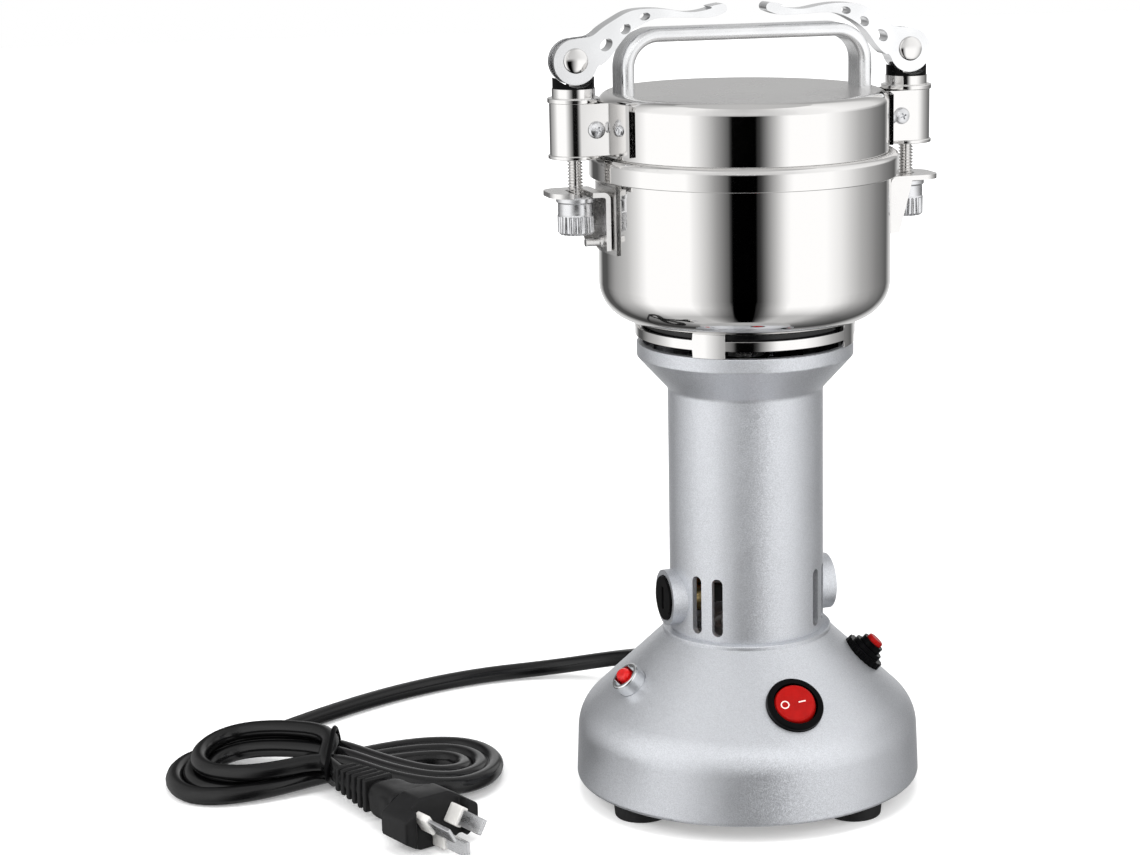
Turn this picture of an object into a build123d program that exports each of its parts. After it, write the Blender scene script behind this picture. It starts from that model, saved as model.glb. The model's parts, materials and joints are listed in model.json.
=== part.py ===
"""Electric grain mill: a motor in a column on a heavy base, and a grinding bowl closed by a clamped lid.

Lengths are millimetres and angles are degrees. The mill stands on z = 0 with its axis on Z and its
front at -Y, and the two lid clamps lie on the X axis. An angle round the axis is counted from the
front, positive toward +X.
"""
from build123d import *
import os
from math import atan2, cos, degrees, pi, radians, sin, sqrt, tan

# ---------------------------------------------------------------- clearances
slip = 0.05               # on the radius of a sliding or pressed fit
seat_gap = 0.05           # between stacked pieces that rest on one another
air = 0.3                 # between pieces that only pass each other

# ---------------------------------------------------------------- base
foot_height = 7.0         # feet below the rim of the base
foot_radius = 11.6
foot_taper = 0.8
foot_circle = 55.0
foot_turn = -20.5         # direction midway between the two front feet
foot_spread = 50.0
base_radius = 69.9        # at the rim
base_draft = 1.2          # how much the wall leans in over its height
base_wall_height = 27.3
base_wall = 3.0
shoulder_fillet = 18.0
rim_round = 1.5
neck_radius = 33.4        # where the cone ends
cone_height = 33.5
lip_width = 2.0           # raised ring round the column
lip_height = 1.1
neck_depth = 12.0         # how deep the column sits in the base
socket_wall = 3.0
plate_thickness = 1.5
plate_recess = 1.0
boss_radius = 5.5
base_screw_radius = 1.9
base_screw_head = 4.0
base_screw_length = 20.0

# ---------------------------------------------------------------- column and motor
column_radius = 31.0
column_wall = 2.5
column_length = 99.4      # from the top of the cone to the foot of the flare
flare_height = 13.3
flare_radius = 43.1
band_height = 5.5
fan_room = 12.5           # from the bearing web up to the top of the flare
web_thickness = 10.0
bearing_radius = 13.0
bearing_width = 8.0
bearing_shoulder = 2.0
shaft_radius = 5.0
slot_width = 4.6
slot_length = 23.6
slot_height = 27.4        # middle of the slots above the foot of the column
slot_angles = (42.5, 60.0, 120.0, 137.5, -42.5, -60.0, -120.0, -137.5)
brush_height = 27.2       # brush axis above the foot of the column
boss_stand_off = 4.0      # brush bosses beyond the column
brush_boss_radius = 11.3
brush_holder_radius = 6.5
brush_cap_radius = 8.9
brush_cap_thickness = 3.0
brush_cap_sink = 2.0
brush_width = 5.0
brush_depth = 6.4
brush_length = 13.0
commutator_radius = 9.0
commutator_length = 16.0
core_radius = 14.8
core_length = 42.0
core_slots = 12
stator_play = 0.2         # stator inside the column
yoke_radius = 22.0        # inside of the stator's ring
pole_gap = 0.5            # between a pole and the armature
winding_room = 12.0       # between the armature core and the web
fan_radius = 27.5
fan_height = 10.0
fan_blades = 9

# ---------------------------------------------------------------- top of the motor
vent_height = 9.5         # open ring under the bowl
vent_radius = 43.6
vent_wall = 1.4
vent_band_low = 3.0
vent_band_high = 6.9
pillar_width = 13.4
pillar_turn = -39.4
insulator_radius = 41.0
insulator_thickness = 6.3
leg_radius = 4.5
leg_circle = 34.0
mount_screw_radius = 1.6
mount_screw_depth = 8.0

# ---------------------------------------------------------------- bowl
bowl_radius = 57.5
bowl_height = 64.1
sheet = 1.2               # bowl and lid wall
bowl_corner = 15.0
collar_step = 3.2         # collar outside the bowl's wall
collar_height = 8.9
collar_rise = 1.4         # collar above the bowl's wall
collar_fillet = 2.4
hub_flange_radius = 14.0
hub_flange_height = 6.3
hub_neck_radius = 10.9
seal_radius = 8.0
seal_height = 4.5

# ---------------------------------------------------------------- blades
spindle_top = 6.0         # spindle inside the dome of the nut
spindle_radius = 4.0
blade_thickness = 2.2
blade_hub_radius = 16.0
spacer_radius = 9.0
spacers = (5.0, 7.8, 2.8)
washer_radius = 12.0
washer_thickness = 1.6
nut_flats = 17.0
nut_height = 7.2
dome_radius = 6.7
dome_height = 8.0

# ---------------------------------------------------------------- lid and handle
lid_inset = 0.7           # lid inside the bowl's wall
lid_height = 23.9
lid_fillet = 4.5
gasket_thickness = 1.0
gasket_lip = 3.0
gasket_width = 1.25       # gasket's lip inside the bowl
handle_inset = 5.2        # ends of the handle inside the edge of the lid
handle_rise = 25.1
handle_thickness = 5.2
handle_width = 15.0
handle_corner = 15.0
handle_edge = 2.3
handle_screw_spread = 4.0

# ---------------------------------------------------------------- clamps
clamp_stand_off = 11.5    # clamp bolts, outside the bowl's wall
bolt_radius = 2.8
bolt_length = 65.4        # below the lever pin
bolt_flat = 3.6           # thickness of the eye
eye_radius = 5.5
bolt_play = 0.1
lever_pin_radius = 2.5
pin_head_radius = 4.8
pin_head_height = 1.25
strap_drop = 2.1          # top of the strap below the lid's top
strap_gap = 0.1           # strap outside the lid's wall
strap_height = 19.7
strap_sheet = 1.5
strap_bend_radius = 9.45
strap_wing = 22.0
strap_rivet_angle = 16.5
strap_rivet_radius = 1.2
clamp_screw_offset = 6.0
clamp_screw_radius = 1.6
flange_radius = 10.1
flange_thickness = 1.9
sleeve_radius = 4.2
clamp_collar_radius = 8.3
clamp_collar_height = 3.5
cup_radius = 8.0
cup_height = 4.1
cup_floor = 0.6
cup_play = 0.7            # under the lever's head in its cup
cup_hollow = 10.0
lever_head_radius = 8.7
cam_offset = 0.5
lever_width = 8.0
fork_width = 4.2
fork_depth = 6.5

# ---------------------------------------------------------------- hooks on the bowl
hook_drop = 10.8          # top of the hook below the bowl's wall
hook_sheet = 1.9
hook_overhang = 11.5      # tongue of the hook beyond the bolt
hook_width = 21.0
hook_corner = 7.0
hook_bend = 3.0
hook_slot = 7.6
hook_slot_end = 3.8
hook_leg_height = 22.6
hook_stand_off = 0.7
doubler_sheet = 0.9
doubler_width = 26.0
doubler_height = 26.0
clamp_nut_height = 14.55
clamp_nut_radius = 7.1
clamp_nut_collar = 2.45
clamp_nut_neck = 5.0
clamp_nut_play = 0.5       # under the hook's tongue
knurl_flutes = 20

# ---------------------------------------------------------------- panel devices on the cone
switch_height = 49.5
switch_bezel_radius = 11.4
switch_bezel_rise = 2.2
switch_window_radius = 8.9
switch_hole_radius = 10.0
rocker_radius = 8.6
rocker_tilt = 10.0
rocker_pivot = 1.0        # below the surface of the cone
rocker_top = 3.9
rocker_depth = 4.0
rocker_axle = 1.2
lamp_angle = -83.0
lamp_height = 50.7
lamp_bezel_radius = 6.3
lamp_bezel_rise = 5.6
lamp_hole_radius = 5.0
lamp_lens_length = 7.6
lamp_lens_width = 5.8
lamp_lens_top = 7.5
reset_angle = 70.0
reset_height = 55.0
reset_nut_radius = 8.8
reset_neck_radius = 4.8
reset_neck_rise = 7.0
reset_button_radius = 3.45
reset_button_rise = 8.8
reset_travel = 2.0

# ---------------------------------------------------------------- mains cord
cord_radius = 3.6
gland_height = 20.0
gland_hole_radius = 6.0
gland_end = 97.0          # end of the gland's sleeve, behind the axis
hank_center = (-157.0, 66.0)
hank_turn = -20.5
hank_height = 16.0
cord_rest = 0.1           # under the cord where it lies on the table
lobe_length = 36.0        # half lengths and widths of the hank's two loops
lobe_width = 27.0
lobe_band = 15.0
waist_width = 16.0
tie_width = 4.0
tie_thickness = 0.9
plug_turn = -50.0         # from the hank's long axis
plug_axis_height = 11.0
relief_length = 30.0
plug_length = 43.0
plug_pin_length = 17.0

# ---------------------------------------------------------------- heights of the stack
shoulder_radius = base_radius - base_draft
base_z = foot_height
shoulder_z = base_z + base_wall_height
neck_z = shoulder_z + cone_height
lip_z = neck_z + lip_height
column_foot = neck_z - neck_depth
flare_z = neck_z + column_length
flare_top = flare_z + flare_height
housing_top = flare_top + band_height
web_top = flare_top - fan_room
web_bottom = web_top - web_thickness
brush_z = column_foot + brush_height
bowl_z = housing_top + vent_height
bowl_floor = bowl_z + sheet
bowl_rim = bowl_z + bowl_height
collar_top = bowl_rim + collar_rise
lid_z = bowl_rim + gasket_thickness + 2 * seat_gap
lid_top = lid_z + lid_height
handle_top = lid_top + handle_rise
strap_top = lid_top - strap_drop
strap_foot = strap_top - strap_height
clamp_collar_foot = strap_top + flange_thickness
cup_foot = clamp_collar_foot + clamp_collar_height
cup_top = cup_foot + cup_height
head_z = cup_foot + cup_floor + cup_play + lever_head_radius
pin_z = head_z + cam_offset
hook_top = bowl_rim - hook_drop
hook_under = hook_top - hook_sheet

# ---------------------------------------------------------------- sizes that follow the bowl and the column
collar_radius = bowl_radius + collar_step
lid_radius = bowl_radius - lid_inset
handle_span = 2 * (lid_radius - handle_inset)
clamp_reach = bowl_radius + clamp_stand_off
hook_length = clamp_reach + hook_overhang
seal_play = 0.15          # gasket's lip from the bowl's wall
gasket_skirt = bowl_radius - sheet - seal_play
gasket_inner = gasket_skirt - gasket_width
boss_reach = column_radius + boss_stand_off
column_bore = column_radius - column_wall
stator_radius = column_bore - stator_play

# ---------------------------------------------------------------- slopes
cone_slope = (shoulder_radius - neck_radius) / cone_height
cone_lean = atan2(1, cone_slope)
cone_shift = base_wall * sqrt(1 + cone_slope ** 2)
draft_slope = base_draft / base_wall_height
flare_slope = (flare_radius - column_radius) / flare_height
flare_shift = column_wall * sqrt(1 + flare_slope ** 2)

STANDING = (Align.CENTER, Align.CENTER, Align.MIN)
foot_angles = [foot_turn + back + side * foot_spread for back in (0, 180) for side in (-1, 1)]
pillar_angles = [pillar_turn + quarter for quarter in (0, 90, 180, 270)]
sides = (-1, 1)


# ---------------------------------------------------------------- shared shapes
def around(radius, angle, height=0.0):
    """Point at a radius and an angle from the front."""
    return (radius * sin(radians(angle)), -radius * cos(radians(angle)), height)


def cone_radius(height):
    """Radius of the base's cone at a height."""
    return neck_radius + cone_slope * (neck_z - height)


def cone_plane(angle, height):
    """Plane on the cone: x to the right, y up the slope, z outward."""
    outward = around(sin(cone_lean), angle, cos(cone_lean))
    right = (cos(radians(angle)), sin(radians(angle)), 0)
    return Plane(origin=around(cone_radius(height), angle, height), x_dir=right, z_dir=outward)


def side_plane(angle, radius, height):
    """Upright plane facing outward: x to the right, y up."""
    right = (cos(radians(angle)), sin(radians(angle)), 0)
    return Plane(origin=around(radius, angle, height), x_dir=right, z_dir=around(1, angle))


def rod(radius, bottom, top, mode=Mode.ADD):
    """Cylinder along the work plane's z between two heights."""
    with Locations((0, 0, bottom)):
        Cylinder(radius, top - bottom, align=STANDING, mode=mode)


def turned(*corners, rounds=None):
    """Closed radius-height outline, with a round at each corner that has one."""
    with BuildSketch(Plane.XZ) as section:
        with BuildLine():
            if rounds:
                FilletPolyline(*corners, radius=rounds, close=True)
            else:
                Polyline(*corners, close=True)
        make_face()
    return section.sketch


def ring_sector(inner, outer, middle, half):
    """Flat sector of a ring; its middle is an angle from +X."""
    with BuildSketch() as shape:
        with BuildLine():
            far = CenterArc((0, 0), outer, middle - half, 2 * half)
            near = CenterArc((0, 0), inner, middle - half, 2 * half)
            Line(far @ 0, near @ 0)
            Line(far @ 1, near @ 1)
        make_face()
    return shape.sketch


# ================================================================ base
plate_z = base_z + plate_recess
plate_top = plate_z + plate_thickness
inner_drop = (cone_shift - base_wall) / (cone_slope - draft_slope)
inner_corner = (cone_radius(shoulder_z - inner_drop) - cone_shift, shoulder_z - inner_drop)
socket_radius = column_radius + slip
socket_outer = socket_radius + socket_wall
socket_floor = column_foot - socket_wall
socket_join = neck_z - (socket_outer + cone_shift - neck_radius) / cone_slope
lip_radius = column_radius + lip_width + lip_height
rim_inner = base_radius - base_wall

# Flat seats and holes for what is mounted on the cone, and the cord's hole at the back.
switch_seat = -0.9
lamp_seat = -0.3
reset_seat = -0.55
gland_seat = base_radius - draft_slope * (gland_height - base_z) - 0.6
gland_flange_radius = gland_hole_radius + 2.5
switch_plane = cone_plane(0, switch_height)
lamp_plane = cone_plane(lamp_angle, lamp_height)
reset_plane = cone_plane(reset_angle, reset_height)
gland_plane = side_plane(180, gland_seat, gland_height)
panel_holes = (
    (switch_plane.offset(switch_seat), switch_bezel_radius + 0.2, switch_hole_radius),
    (lamp_plane.offset(lamp_seat), lamp_bezel_radius + 0.2, lamp_hole_radius),
    (reset_plane.offset(reset_seat), reset_nut_radius + 0.2, reset_neck_radius + slip),
    (gland_plane, gland_flange_radius + 0.2, gland_hole_radius),
)

# The cavity under the cone leaves four screw bosses and the socket that the column stands in.
with BuildPart() as base_cavity:
    add(turned(
        (0, base_z - 1), (rim_inner + draft_slope, base_z - 1), inner_corner,
        (socket_outer, socket_join), (socket_outer, socket_floor), (0, socket_floor),
        rounds=[0, 0, shoulder_fillet - base_wall, 1.5, 0, 0]))
    revolve(axis=Axis.Z)
    with Locations([around(foot_circle, a) for a in foot_angles]):
        rod(boss_radius, plate_top, neck_z, mode=Mode.SUBTRACT)

with BuildPart() as base_housing:
    add(turned(
        (0, base_z), (base_radius, base_z), (shoulder_radius, shoulder_z),
        (lip_radius, neck_z - (lip_radius - neck_radius) / cone_slope), (lip_radius, lip_z), (0, lip_z),
        rounds=[0, rim_round, shoulder_fillet, 0, 0.6, 0]))
    revolve(axis=Axis.Z)
    add(base_cavity.part, mode=Mode.SUBTRACT)
    rod(column_bore, socket_floor - 1, lip_z, mode=Mode.SUBTRACT)
    rod(socket_radius, column_foot, lip_z, mode=Mode.SUBTRACT)
    with Locations([around(foot_circle, a) for a in foot_angles]):
        rod(base_screw_radius + slip, plate_top - 1, plate_top + base_screw_length, mode=Mode.SUBTRACT)
    for panel_plane, seat_radius, hole_radius in panel_holes:
        with BuildSketch(panel_plane):
            Circle(seat_radius)
        extrude(amount=5, mode=Mode.SUBTRACT)
        with BuildSketch(panel_plane):
            Circle(hole_radius)
        extrude(amount=base_wall + 3, both=True, mode=Mode.SUBTRACT)

with BuildPart() as base_plate:
    rod(rim_inner - 0.5, plate_z, plate_top)
    rod(3.0, plate_z, plate_top, mode=Mode.SUBTRACT)
    with Locations([around(foot_circle, a) for a in foot_angles]):
        rod(base_screw_radius + slip, plate_z, plate_top, mode=Mode.SUBTRACT)
    with PolarLocations(32, 6):
        rod(2.5, plate_z, plate_top, mode=Mode.SUBTRACT)

screw_seat = plate_z / 2
with BuildPart() as rubber_feet:
    with Locations([around(foot_circle, a) for a in foot_angles]):
        Cone(foot_radius - foot_taper, foot_radius, plate_z, align=STANDING)
        rod(base_screw_radius + slip, 0, plate_z, mode=Mode.SUBTRACT)
        rod(base_screw_head + air, 0, screw_seat, mode=Mode.SUBTRACT)

with BuildPart() as base_screws:
    with Locations([around(foot_circle, a) for a in foot_angles]):
        rod(base_screw_radius, screw_seat, plate_top + base_screw_length - 1)
        rod(base_screw_head, screw_seat - 2.4, screw_seat)

# ================================================================ column and motor
boss_axis = Plane.YZ
with BuildPart() as fan_chamber:
    add(turned(
        (0, web_top), (column_radius + flare_slope * (web_top - flare_z) - flare_shift, web_top),
        (flare_radius - column_wall, flare_top + (flare_shift - column_wall) / flare_slope),
        (flare_radius - column_wall, housing_top + 1), (0, housing_top + 1)))
    revolve(axis=Axis.Z)
    with Locations([around(leg_circle, a) for a in pillar_angles]):
        rod(leg_radius, web_top, housing_top - 4, mode=Mode.SUBTRACT)

with BuildPart() as motor_housing:
    add(turned(
        (0, column_foot), (column_radius, column_foot), (column_radius, flare_z),
        (flare_radius, flare_top), (flare_radius, housing_top), (0, housing_top),
        rounds=[0, 0.6, 3.0, 1.2, 0.5, 0]))
    revolve(axis=Axis.Z)
    with BuildSketch(boss_axis):
        with Locations((0, brush_z)):
            Circle(brush_boss_radius)
    extrude(amount=boss_reach, both=True)
    rod(column_bore, column_foot - 1, web_bottom, mode=Mode.SUBTRACT)
    add(fan_chamber.part, mode=Mode.SUBTRACT)
    rod(bearing_radius + slip, web_top - bearing_width, web_top, mode=Mode.SUBTRACT)
    rod(bearing_radius - bearing_shoulder, web_bottom, web_top, mode=Mode.SUBTRACT)
    with PolarLocations((bearing_radius + column_bore) / 2 + 1, 8):
        rod(4.2, web_bottom - 1, web_top + 1, mode=Mode.SUBTRACT)
    with Locations([around(leg_circle, a) for a in pillar_angles]):
        rod(mount_screw_radius + slip, housing_top - 4 - mount_screw_depth, housing_top, mode=Mode.SUBTRACT)
    with BuildSketch(boss_axis):
        with Locations((0, brush_z)):
            Circle(brush_holder_radius + slip)
    extrude(amount=boss_reach, both=True, mode=Mode.SUBTRACT)
    for side in sides:
        with BuildSketch(boss_axis.offset(side * boss_reach)):
            with Locations((0, brush_z)):
                Circle(brush_cap_radius + air)
        extrude(amount=-side * brush_cap_sink, mode=Mode.SUBTRACT)
    for slot_angle in slot_angles:
        with BuildSketch(side_plane(slot_angle, column_radius + 1, column_foot + slot_height)):
            SlotOverall(slot_length, slot_width, rotation=90)
        extrude(amount=-column_wall - 3, mode=Mode.SUBTRACT)

lower_web = column_foot + bearing_shoulder + 4.2
lower_bearing = column_foot + bearing_shoulder + 3.2
cup_outer = bearing_radius + column_wall
with BuildPart() as lower_bracket:
    rod(column_bore - slip, lower_web, lower_web + 3)
    rod(cup_outer, lower_bearing - bearing_shoulder - 1, lower_bearing + bearing_width + 1)
    rod(bearing_radius + slip, lower_bearing, lower_bearing + bearing_width + 1, mode=Mode.SUBTRACT)
    rod(bearing_radius - bearing_shoulder, lower_bearing - 4, lower_bearing, mode=Mode.SUBTRACT)
    with PolarLocations((cup_outer + column_bore) / 2, 8):
        rod(4.0, lower_web - 1, lower_web + 4, mode=Mode.SUBTRACT)

with BuildPart() as bearings:
    for foot in (lower_bearing, web_top - bearing_width):
        rod(bearing_radius, foot, foot + bearing_width)
        rod(shaft_radius + slip, foot, foot + bearing_width, mode=Mode.SUBTRACT)
        for face in (foot, foot + bearing_width - 0.6):
            rod(bearing_radius - 2.2, face, face + 0.6, mode=Mode.SUBTRACT)
            rod(shaft_radius + 2.4, face, face + 0.6)
            rod(shaft_radius + slip, face, face + 0.6, mode=Mode.SUBTRACT)

core_top = web_bottom - winding_room
core_foot = core_top - core_length
stator_foot = core_foot - 1
stator_top = core_top + 1
pole_radius = core_radius + pole_gap
pole_half = 57.0
coil_half = 75.0
with BuildPart() as stator_core:
    with BuildSketch(Plane.XY.offset(stator_foot)):
        Circle(stator_radius)
        Circle(pole_radius, mode=Mode.SUBTRACT)
        for middle in (0, 180):
            add(ring_sector(pole_radius - 1, yoke_radius, middle, 90 - pole_half), mode=Mode.SUBTRACT)
    extrude(amount=stator_top - stator_foot)

coil_inner = pole_radius + 1
coil_outer = yoke_radius - 0.4
coil_end = 5.7
with BuildPart() as field_coils:
    for middle in (90, 270):
        with BuildSketch(Plane.XY.offset(stator_foot - air - coil_end)):
            add(ring_sector(coil_inner, coil_outer, middle, coil_half))
        extrude(amount=stator_top - stator_foot + 2 * (air + coil_end))
        with BuildSketch(Plane.XY.offset(stator_foot - air)):
            add(ring_sector(coil_inner - 1, coil_outer + 1, middle, pole_half + 1))
        extrude(amount=stator_top - stator_foot + 2 * air, mode=Mode.SUBTRACT)

with BuildPart() as armature_core:
    with BuildSketch(Plane.XY.offset(core_foot)):
        Circle(core_radius)
        Circle(shaft_radius + slip, mode=Mode.SUBTRACT)
        with PolarLocations(core_radius - 2, core_slots):
            Rectangle(5, 2.4, mode=Mode.SUBTRACT)
    extrude(amount=core_length)

with BuildPart() as armature_windings:
    for foot, height in ((core_foot - 8 - seat_gap, 8), (core_top + seat_gap, 9)):
        add(turned(
            (shaft_radius + 1, foot), (core_radius - 1.3, foot), (core_radius - 1.3, foot + height),
            (shaft_radius + 1, foot + height), rounds=[0, 2.5, 2.5, 0]))
        revolve(axis=Axis.Z)

with BuildPart() as commutator:
    with BuildSketch(Plane.XY.offset(brush_z - commutator_length / 2)):
        Circle(commutator_radius)
        Circle(shaft_radius + slip, mode=Mode.SUBTRACT)
        with PolarLocations(commutator_radius, core_slots):
            Rectangle(2, 0.6, mode=Mode.SUBTRACT)
    extrude(amount=commutator_length)

holder_inner = commutator_radius + 8
cap_shank_radius = brush_holder_radius - 1.3
cap_seat = boss_reach - brush_cap_sink
brush_end = commutator_radius + slip + brush_length
spring_end = brush_end + 5.6
with BuildPart() as brush_holders:
    for side in sides:
        with BuildSketch(boss_axis.offset(side * holder_inner)):
            with Locations((0, brush_z)):
                Circle(brush_holder_radius)
                Rectangle(brush_width + 0.2, brush_depth + 0.2, mode=Mode.SUBTRACT)
        extrude(amount=side * (cap_seat - 0.2 - holder_inner))
        with BuildSketch(boss_axis.offset(side * cap_seat)):
            with Locations((0, brush_z)):
                Circle(cap_shank_radius + slip)
        extrude(amount=-side * (cap_seat - spring_end), mode=Mode.SUBTRACT)

with BuildPart() as carbon_brushes:
    for side in sides:
        with BuildSketch(boss_axis.offset(side * (commutator_radius + slip))):
            with Locations((0, brush_z)):
                Rectangle(brush_width, brush_depth)
        extrude(amount=side * brush_length)

spring_wire = 0.4
spring_radius = brush_width / 2 - spring_wire
with BuildPart() as brush_springs:
    for side in sides:
        with BuildLine() as coil:
            turns = Helix(1.25, spring_end - brush_end - 2 * (spring_wire + slip), spring_radius,
                          center=(side * (brush_end + spring_wire + slip), 0, brush_z),
                          direction=(side, 0, 0))
        with BuildSketch(Plane(origin=turns @ 0, z_dir=turns % 0)):
            RegularPolygon(spring_wire, 6)
        sweep(path=coil.line, is_frenet=True)

with BuildPart() as brush_caps:
    for side in sides:
        with BuildSketch(boss_axis.offset(side * cap_seat)):
            with Locations((0, brush_z)):
                Circle(brush_cap_radius)
        extrude(amount=side * brush_cap_thickness)
        with BuildSketch(boss_axis.offset(side * (cap_seat + brush_cap_thickness))):
            with Locations((0, brush_z)):
                Rectangle(2.0, 9.0)
        extrude(amount=-side * 1.4, mode=Mode.SUBTRACT)
        with BuildSketch(boss_axis.offset(side * cap_seat)):
            with Locations((0, brush_z)):
                Circle(cap_shank_radius)
        extrude(amount=-side * (cap_seat - spring_end - seat_gap))

fan_z = web_top + 2
with BuildPart() as fan:
    rod(fan_radius, fan_z, fan_z + 1.5)
    rod(shaft_radius + 3, fan_z, fan_z + fan_height)
    with BuildSketch(Plane.XY.offset(fan_z)):
        with PolarLocations((fan_radius + shaft_radius + 4) / 2, fan_blades):
            Rectangle(fan_radius - shaft_radius - 6, 1.4, rotation=28)
    extrude(amount=fan_height)
    rod(shaft_radius + slip, fan_z, fan_z + fan_height, mode=Mode.SUBTRACT)

# ================================================================ top of the motor
insulator_z = bowl_z - insulator_thickness
with BuildPart() as vent_ring:
    with BuildSketch(Plane.XY.offset(housing_top + vent_band_low)):
        Circle(vent_radius)
        Circle(vent_radius - vent_wall, mode=Mode.SUBTRACT)
    extrude(amount=vent_band_high - vent_band_low)
    with BuildSketch(Plane.XY.offset(housing_top)):
        for angle in pillar_angles:
            add(ring_sector(vent_radius - vent_wall, vent_radius, angle - 90,
                            degrees(pillar_width / 2 / vent_radius)))
    extrude(amount=vent_height - seat_gap)

with BuildPart() as insulator:
    rod(insulator_radius, insulator_z, bowl_z)
    rod(hub_neck_radius + slip, insulator_z, bowl_z, mode=Mode.SUBTRACT)
    with Locations([around(leg_circle, a) for a in pillar_angles]):
        rod(leg_radius, housing_top - 4, insulator_z)
        rod(mount_screw_radius + slip, housing_top - 4, bowl_z, mode=Mode.SUBTRACT)
        rod(3.6, bowl_z - 3, bowl_z, mode=Mode.SUBTRACT)

with BuildPart() as mount_screws:
    with Locations([around(leg_circle, a) for a in pillar_angles]):
        rod(3.4, bowl_z - 3, bowl_z - 0.5)
        rod(mount_screw_radius, housing_top - 3 - mount_screw_depth, bowl_z - 3)

# ================================================================ bowl
hub_bore = hub_neck_radius + slip
with BuildPart() as bowl:
    add(turned(
        (hub_bore, bowl_z), (bowl_radius, bowl_z), (bowl_radius, bowl_rim), (bowl_radius - sheet, bowl_rim),
        (bowl_radius - sheet, bowl_floor), (hub_bore, bowl_floor),
        rounds=[0, bowl_corner, 0, 0, bowl_corner - sheet, 0]))
    revolve(axis=Axis.Z)
    add(turned(
        (bowl_radius - 0.35, bowl_rim - 0.5), (bowl_radius - 0.35, collar_top), (collar_radius, collar_top),
        (collar_radius, collar_top - collar_height), (bowl_radius - 0.35, collar_top - collar_height),
        rounds=[0, 0, collar_fillet, 0.5, 0]))
    revolve(axis=Axis.Z)

seal_foot = bowl_floor + hub_flange_height - seal_height - 1
with BuildPart() as bowl_hub:
    rod(hub_flange_radius, bowl_floor, bowl_floor + hub_flange_height)
    rod(hub_neck_radius, insulator_z + 0.3, bowl_floor)
    chamfer(bowl_hub.faces().sort_by(Axis.Z)[-1].edges(), 1.2)
    rod(seal_radius, seal_foot, bowl_floor + hub_flange_height, mode=Mode.SUBTRACT)
    rod(shaft_radius + 0.1, insulator_z, seal_foot, mode=Mode.SUBTRACT)

with BuildPart() as shaft_seal:
    rod(seal_radius - slip, seal_foot, seal_foot + seal_height)
    rod(shaft_radius + slip, seal_foot, seal_foot + seal_height, mode=Mode.SUBTRACT)

# ================================================================ shaft and blades
spacer_foot = bowl_floor + hub_flange_height + 1
lower_blade_z = spacer_foot + spacers[0]
middle_blade_z = lower_blade_z + blade_thickness + spacers[1]
upper_blade_z = middle_blade_z + blade_thickness + spacers[2]
washer_z = upper_blade_z + blade_thickness
nut_z = washer_z + washer_thickness
dome_z = nut_z + nut_height
with BuildPart() as shaft:
    rod(shaft_radius, lower_bearing - 1, spacer_foot)
    rod(spindle_radius, spacer_foot, dome_z + spindle_top)

with BuildPart() as blade_spacers:
    for foot, height in ((spacer_foot, spacers[0]), (lower_blade_z + blade_thickness, spacers[1]),
                         (middle_blade_z + blade_thickness, spacers[2])):
        rod(spacer_radius, foot, foot + height)
    rod(washer_radius, washer_z, nut_z)
    rod(spindle_radius + slip, spacer_foot, nut_z, mode=Mode.SUBTRACT)


def blade(height, turn, arms):
    """Blade with a round hub and one twisted arm per list of stations.

    A station is the distance from the axis, the sideways offset, the width, the pitch and the rise.
    """
    with BuildPart() as piece:
        rod(blade_hub_radius, height, height + blade_thickness)
        for arm_turn, stations in arms:
            heading = radians(turn + arm_turn)
            out = (cos(heading), sin(heading), 0)
            across = (-sin(heading), cos(heading), 0)
            for reach, offset, width, pitch, rise in stations:
                origin = (reach * out[0] + offset * across[0], reach * out[1] + offset * across[1],
                          height + blade_thickness / 2 + rise)
                lean = radians(pitch)
                with BuildSketch(Plane(origin=origin, z_dir=out, x_dir=(
                        across[0] * cos(lean), across[1] * cos(lean), sin(lean)))):
                    Rectangle(width, blade_thickness)
            loft()
        rod(spindle_radius + slip, height - 1, height + blade_thickness + 1, mode=Mode.SUBTRACT)
    return piece


pointed_arm = ((13, 0, 17, 0, 0), (21, 0, 18, 14, 2), (34, 3, 13, 24, 8), (46, 7, 3, 26, 13))
broad_arm = ((13, 0, 16, 0, 0), (24, 0, 17, -16, -1), (37, -1, 19, -24, -2), (45, -2, 17, -24, -3))
sickle_arm = ((13, 0, 17, 0, 0), (22, 4, 16, 12, 0), (34, 3, 11, 18, 1), (46, -6, 4, 18, 2))
small_arm = ((13, 0, 15, 0, 0), (26, 0, 14, -12, -2), (42, 3, 6, -18, -4))
blade_lower = blade(lower_blade_z, 45, ((0, small_arm), (180, small_arm)))
blade_middle = blade(middle_blade_z, 0, ((0, sickle_arm), (180, broad_arm)))
blade_upper = blade(upper_blade_z, 100, ((0, pointed_arm), (180, pointed_arm)))

with BuildPart() as blade_nut:
    with BuildSketch(Plane.XY.offset(nut_z)):
        RegularPolygon(nut_flats / 2, 6, major_radius=False)
    extrude(amount=nut_height)
    add(turned(
        (0, dome_z), (dome_radius, dome_z), (dome_radius, dome_z + dome_height), (0, dome_z + dome_height),
        rounds=[0, 0, dome_radius - 1.5, 0]))
    revolve(axis=Axis.Z)
    rod(1.3, dome_z + dome_height - 1.6, dome_z + dome_height + 1, mode=Mode.SUBTRACT)
    rod(spindle_radius + slip, nut_z, dome_z + spindle_top + seat_gap, mode=Mode.SUBTRACT)

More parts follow.
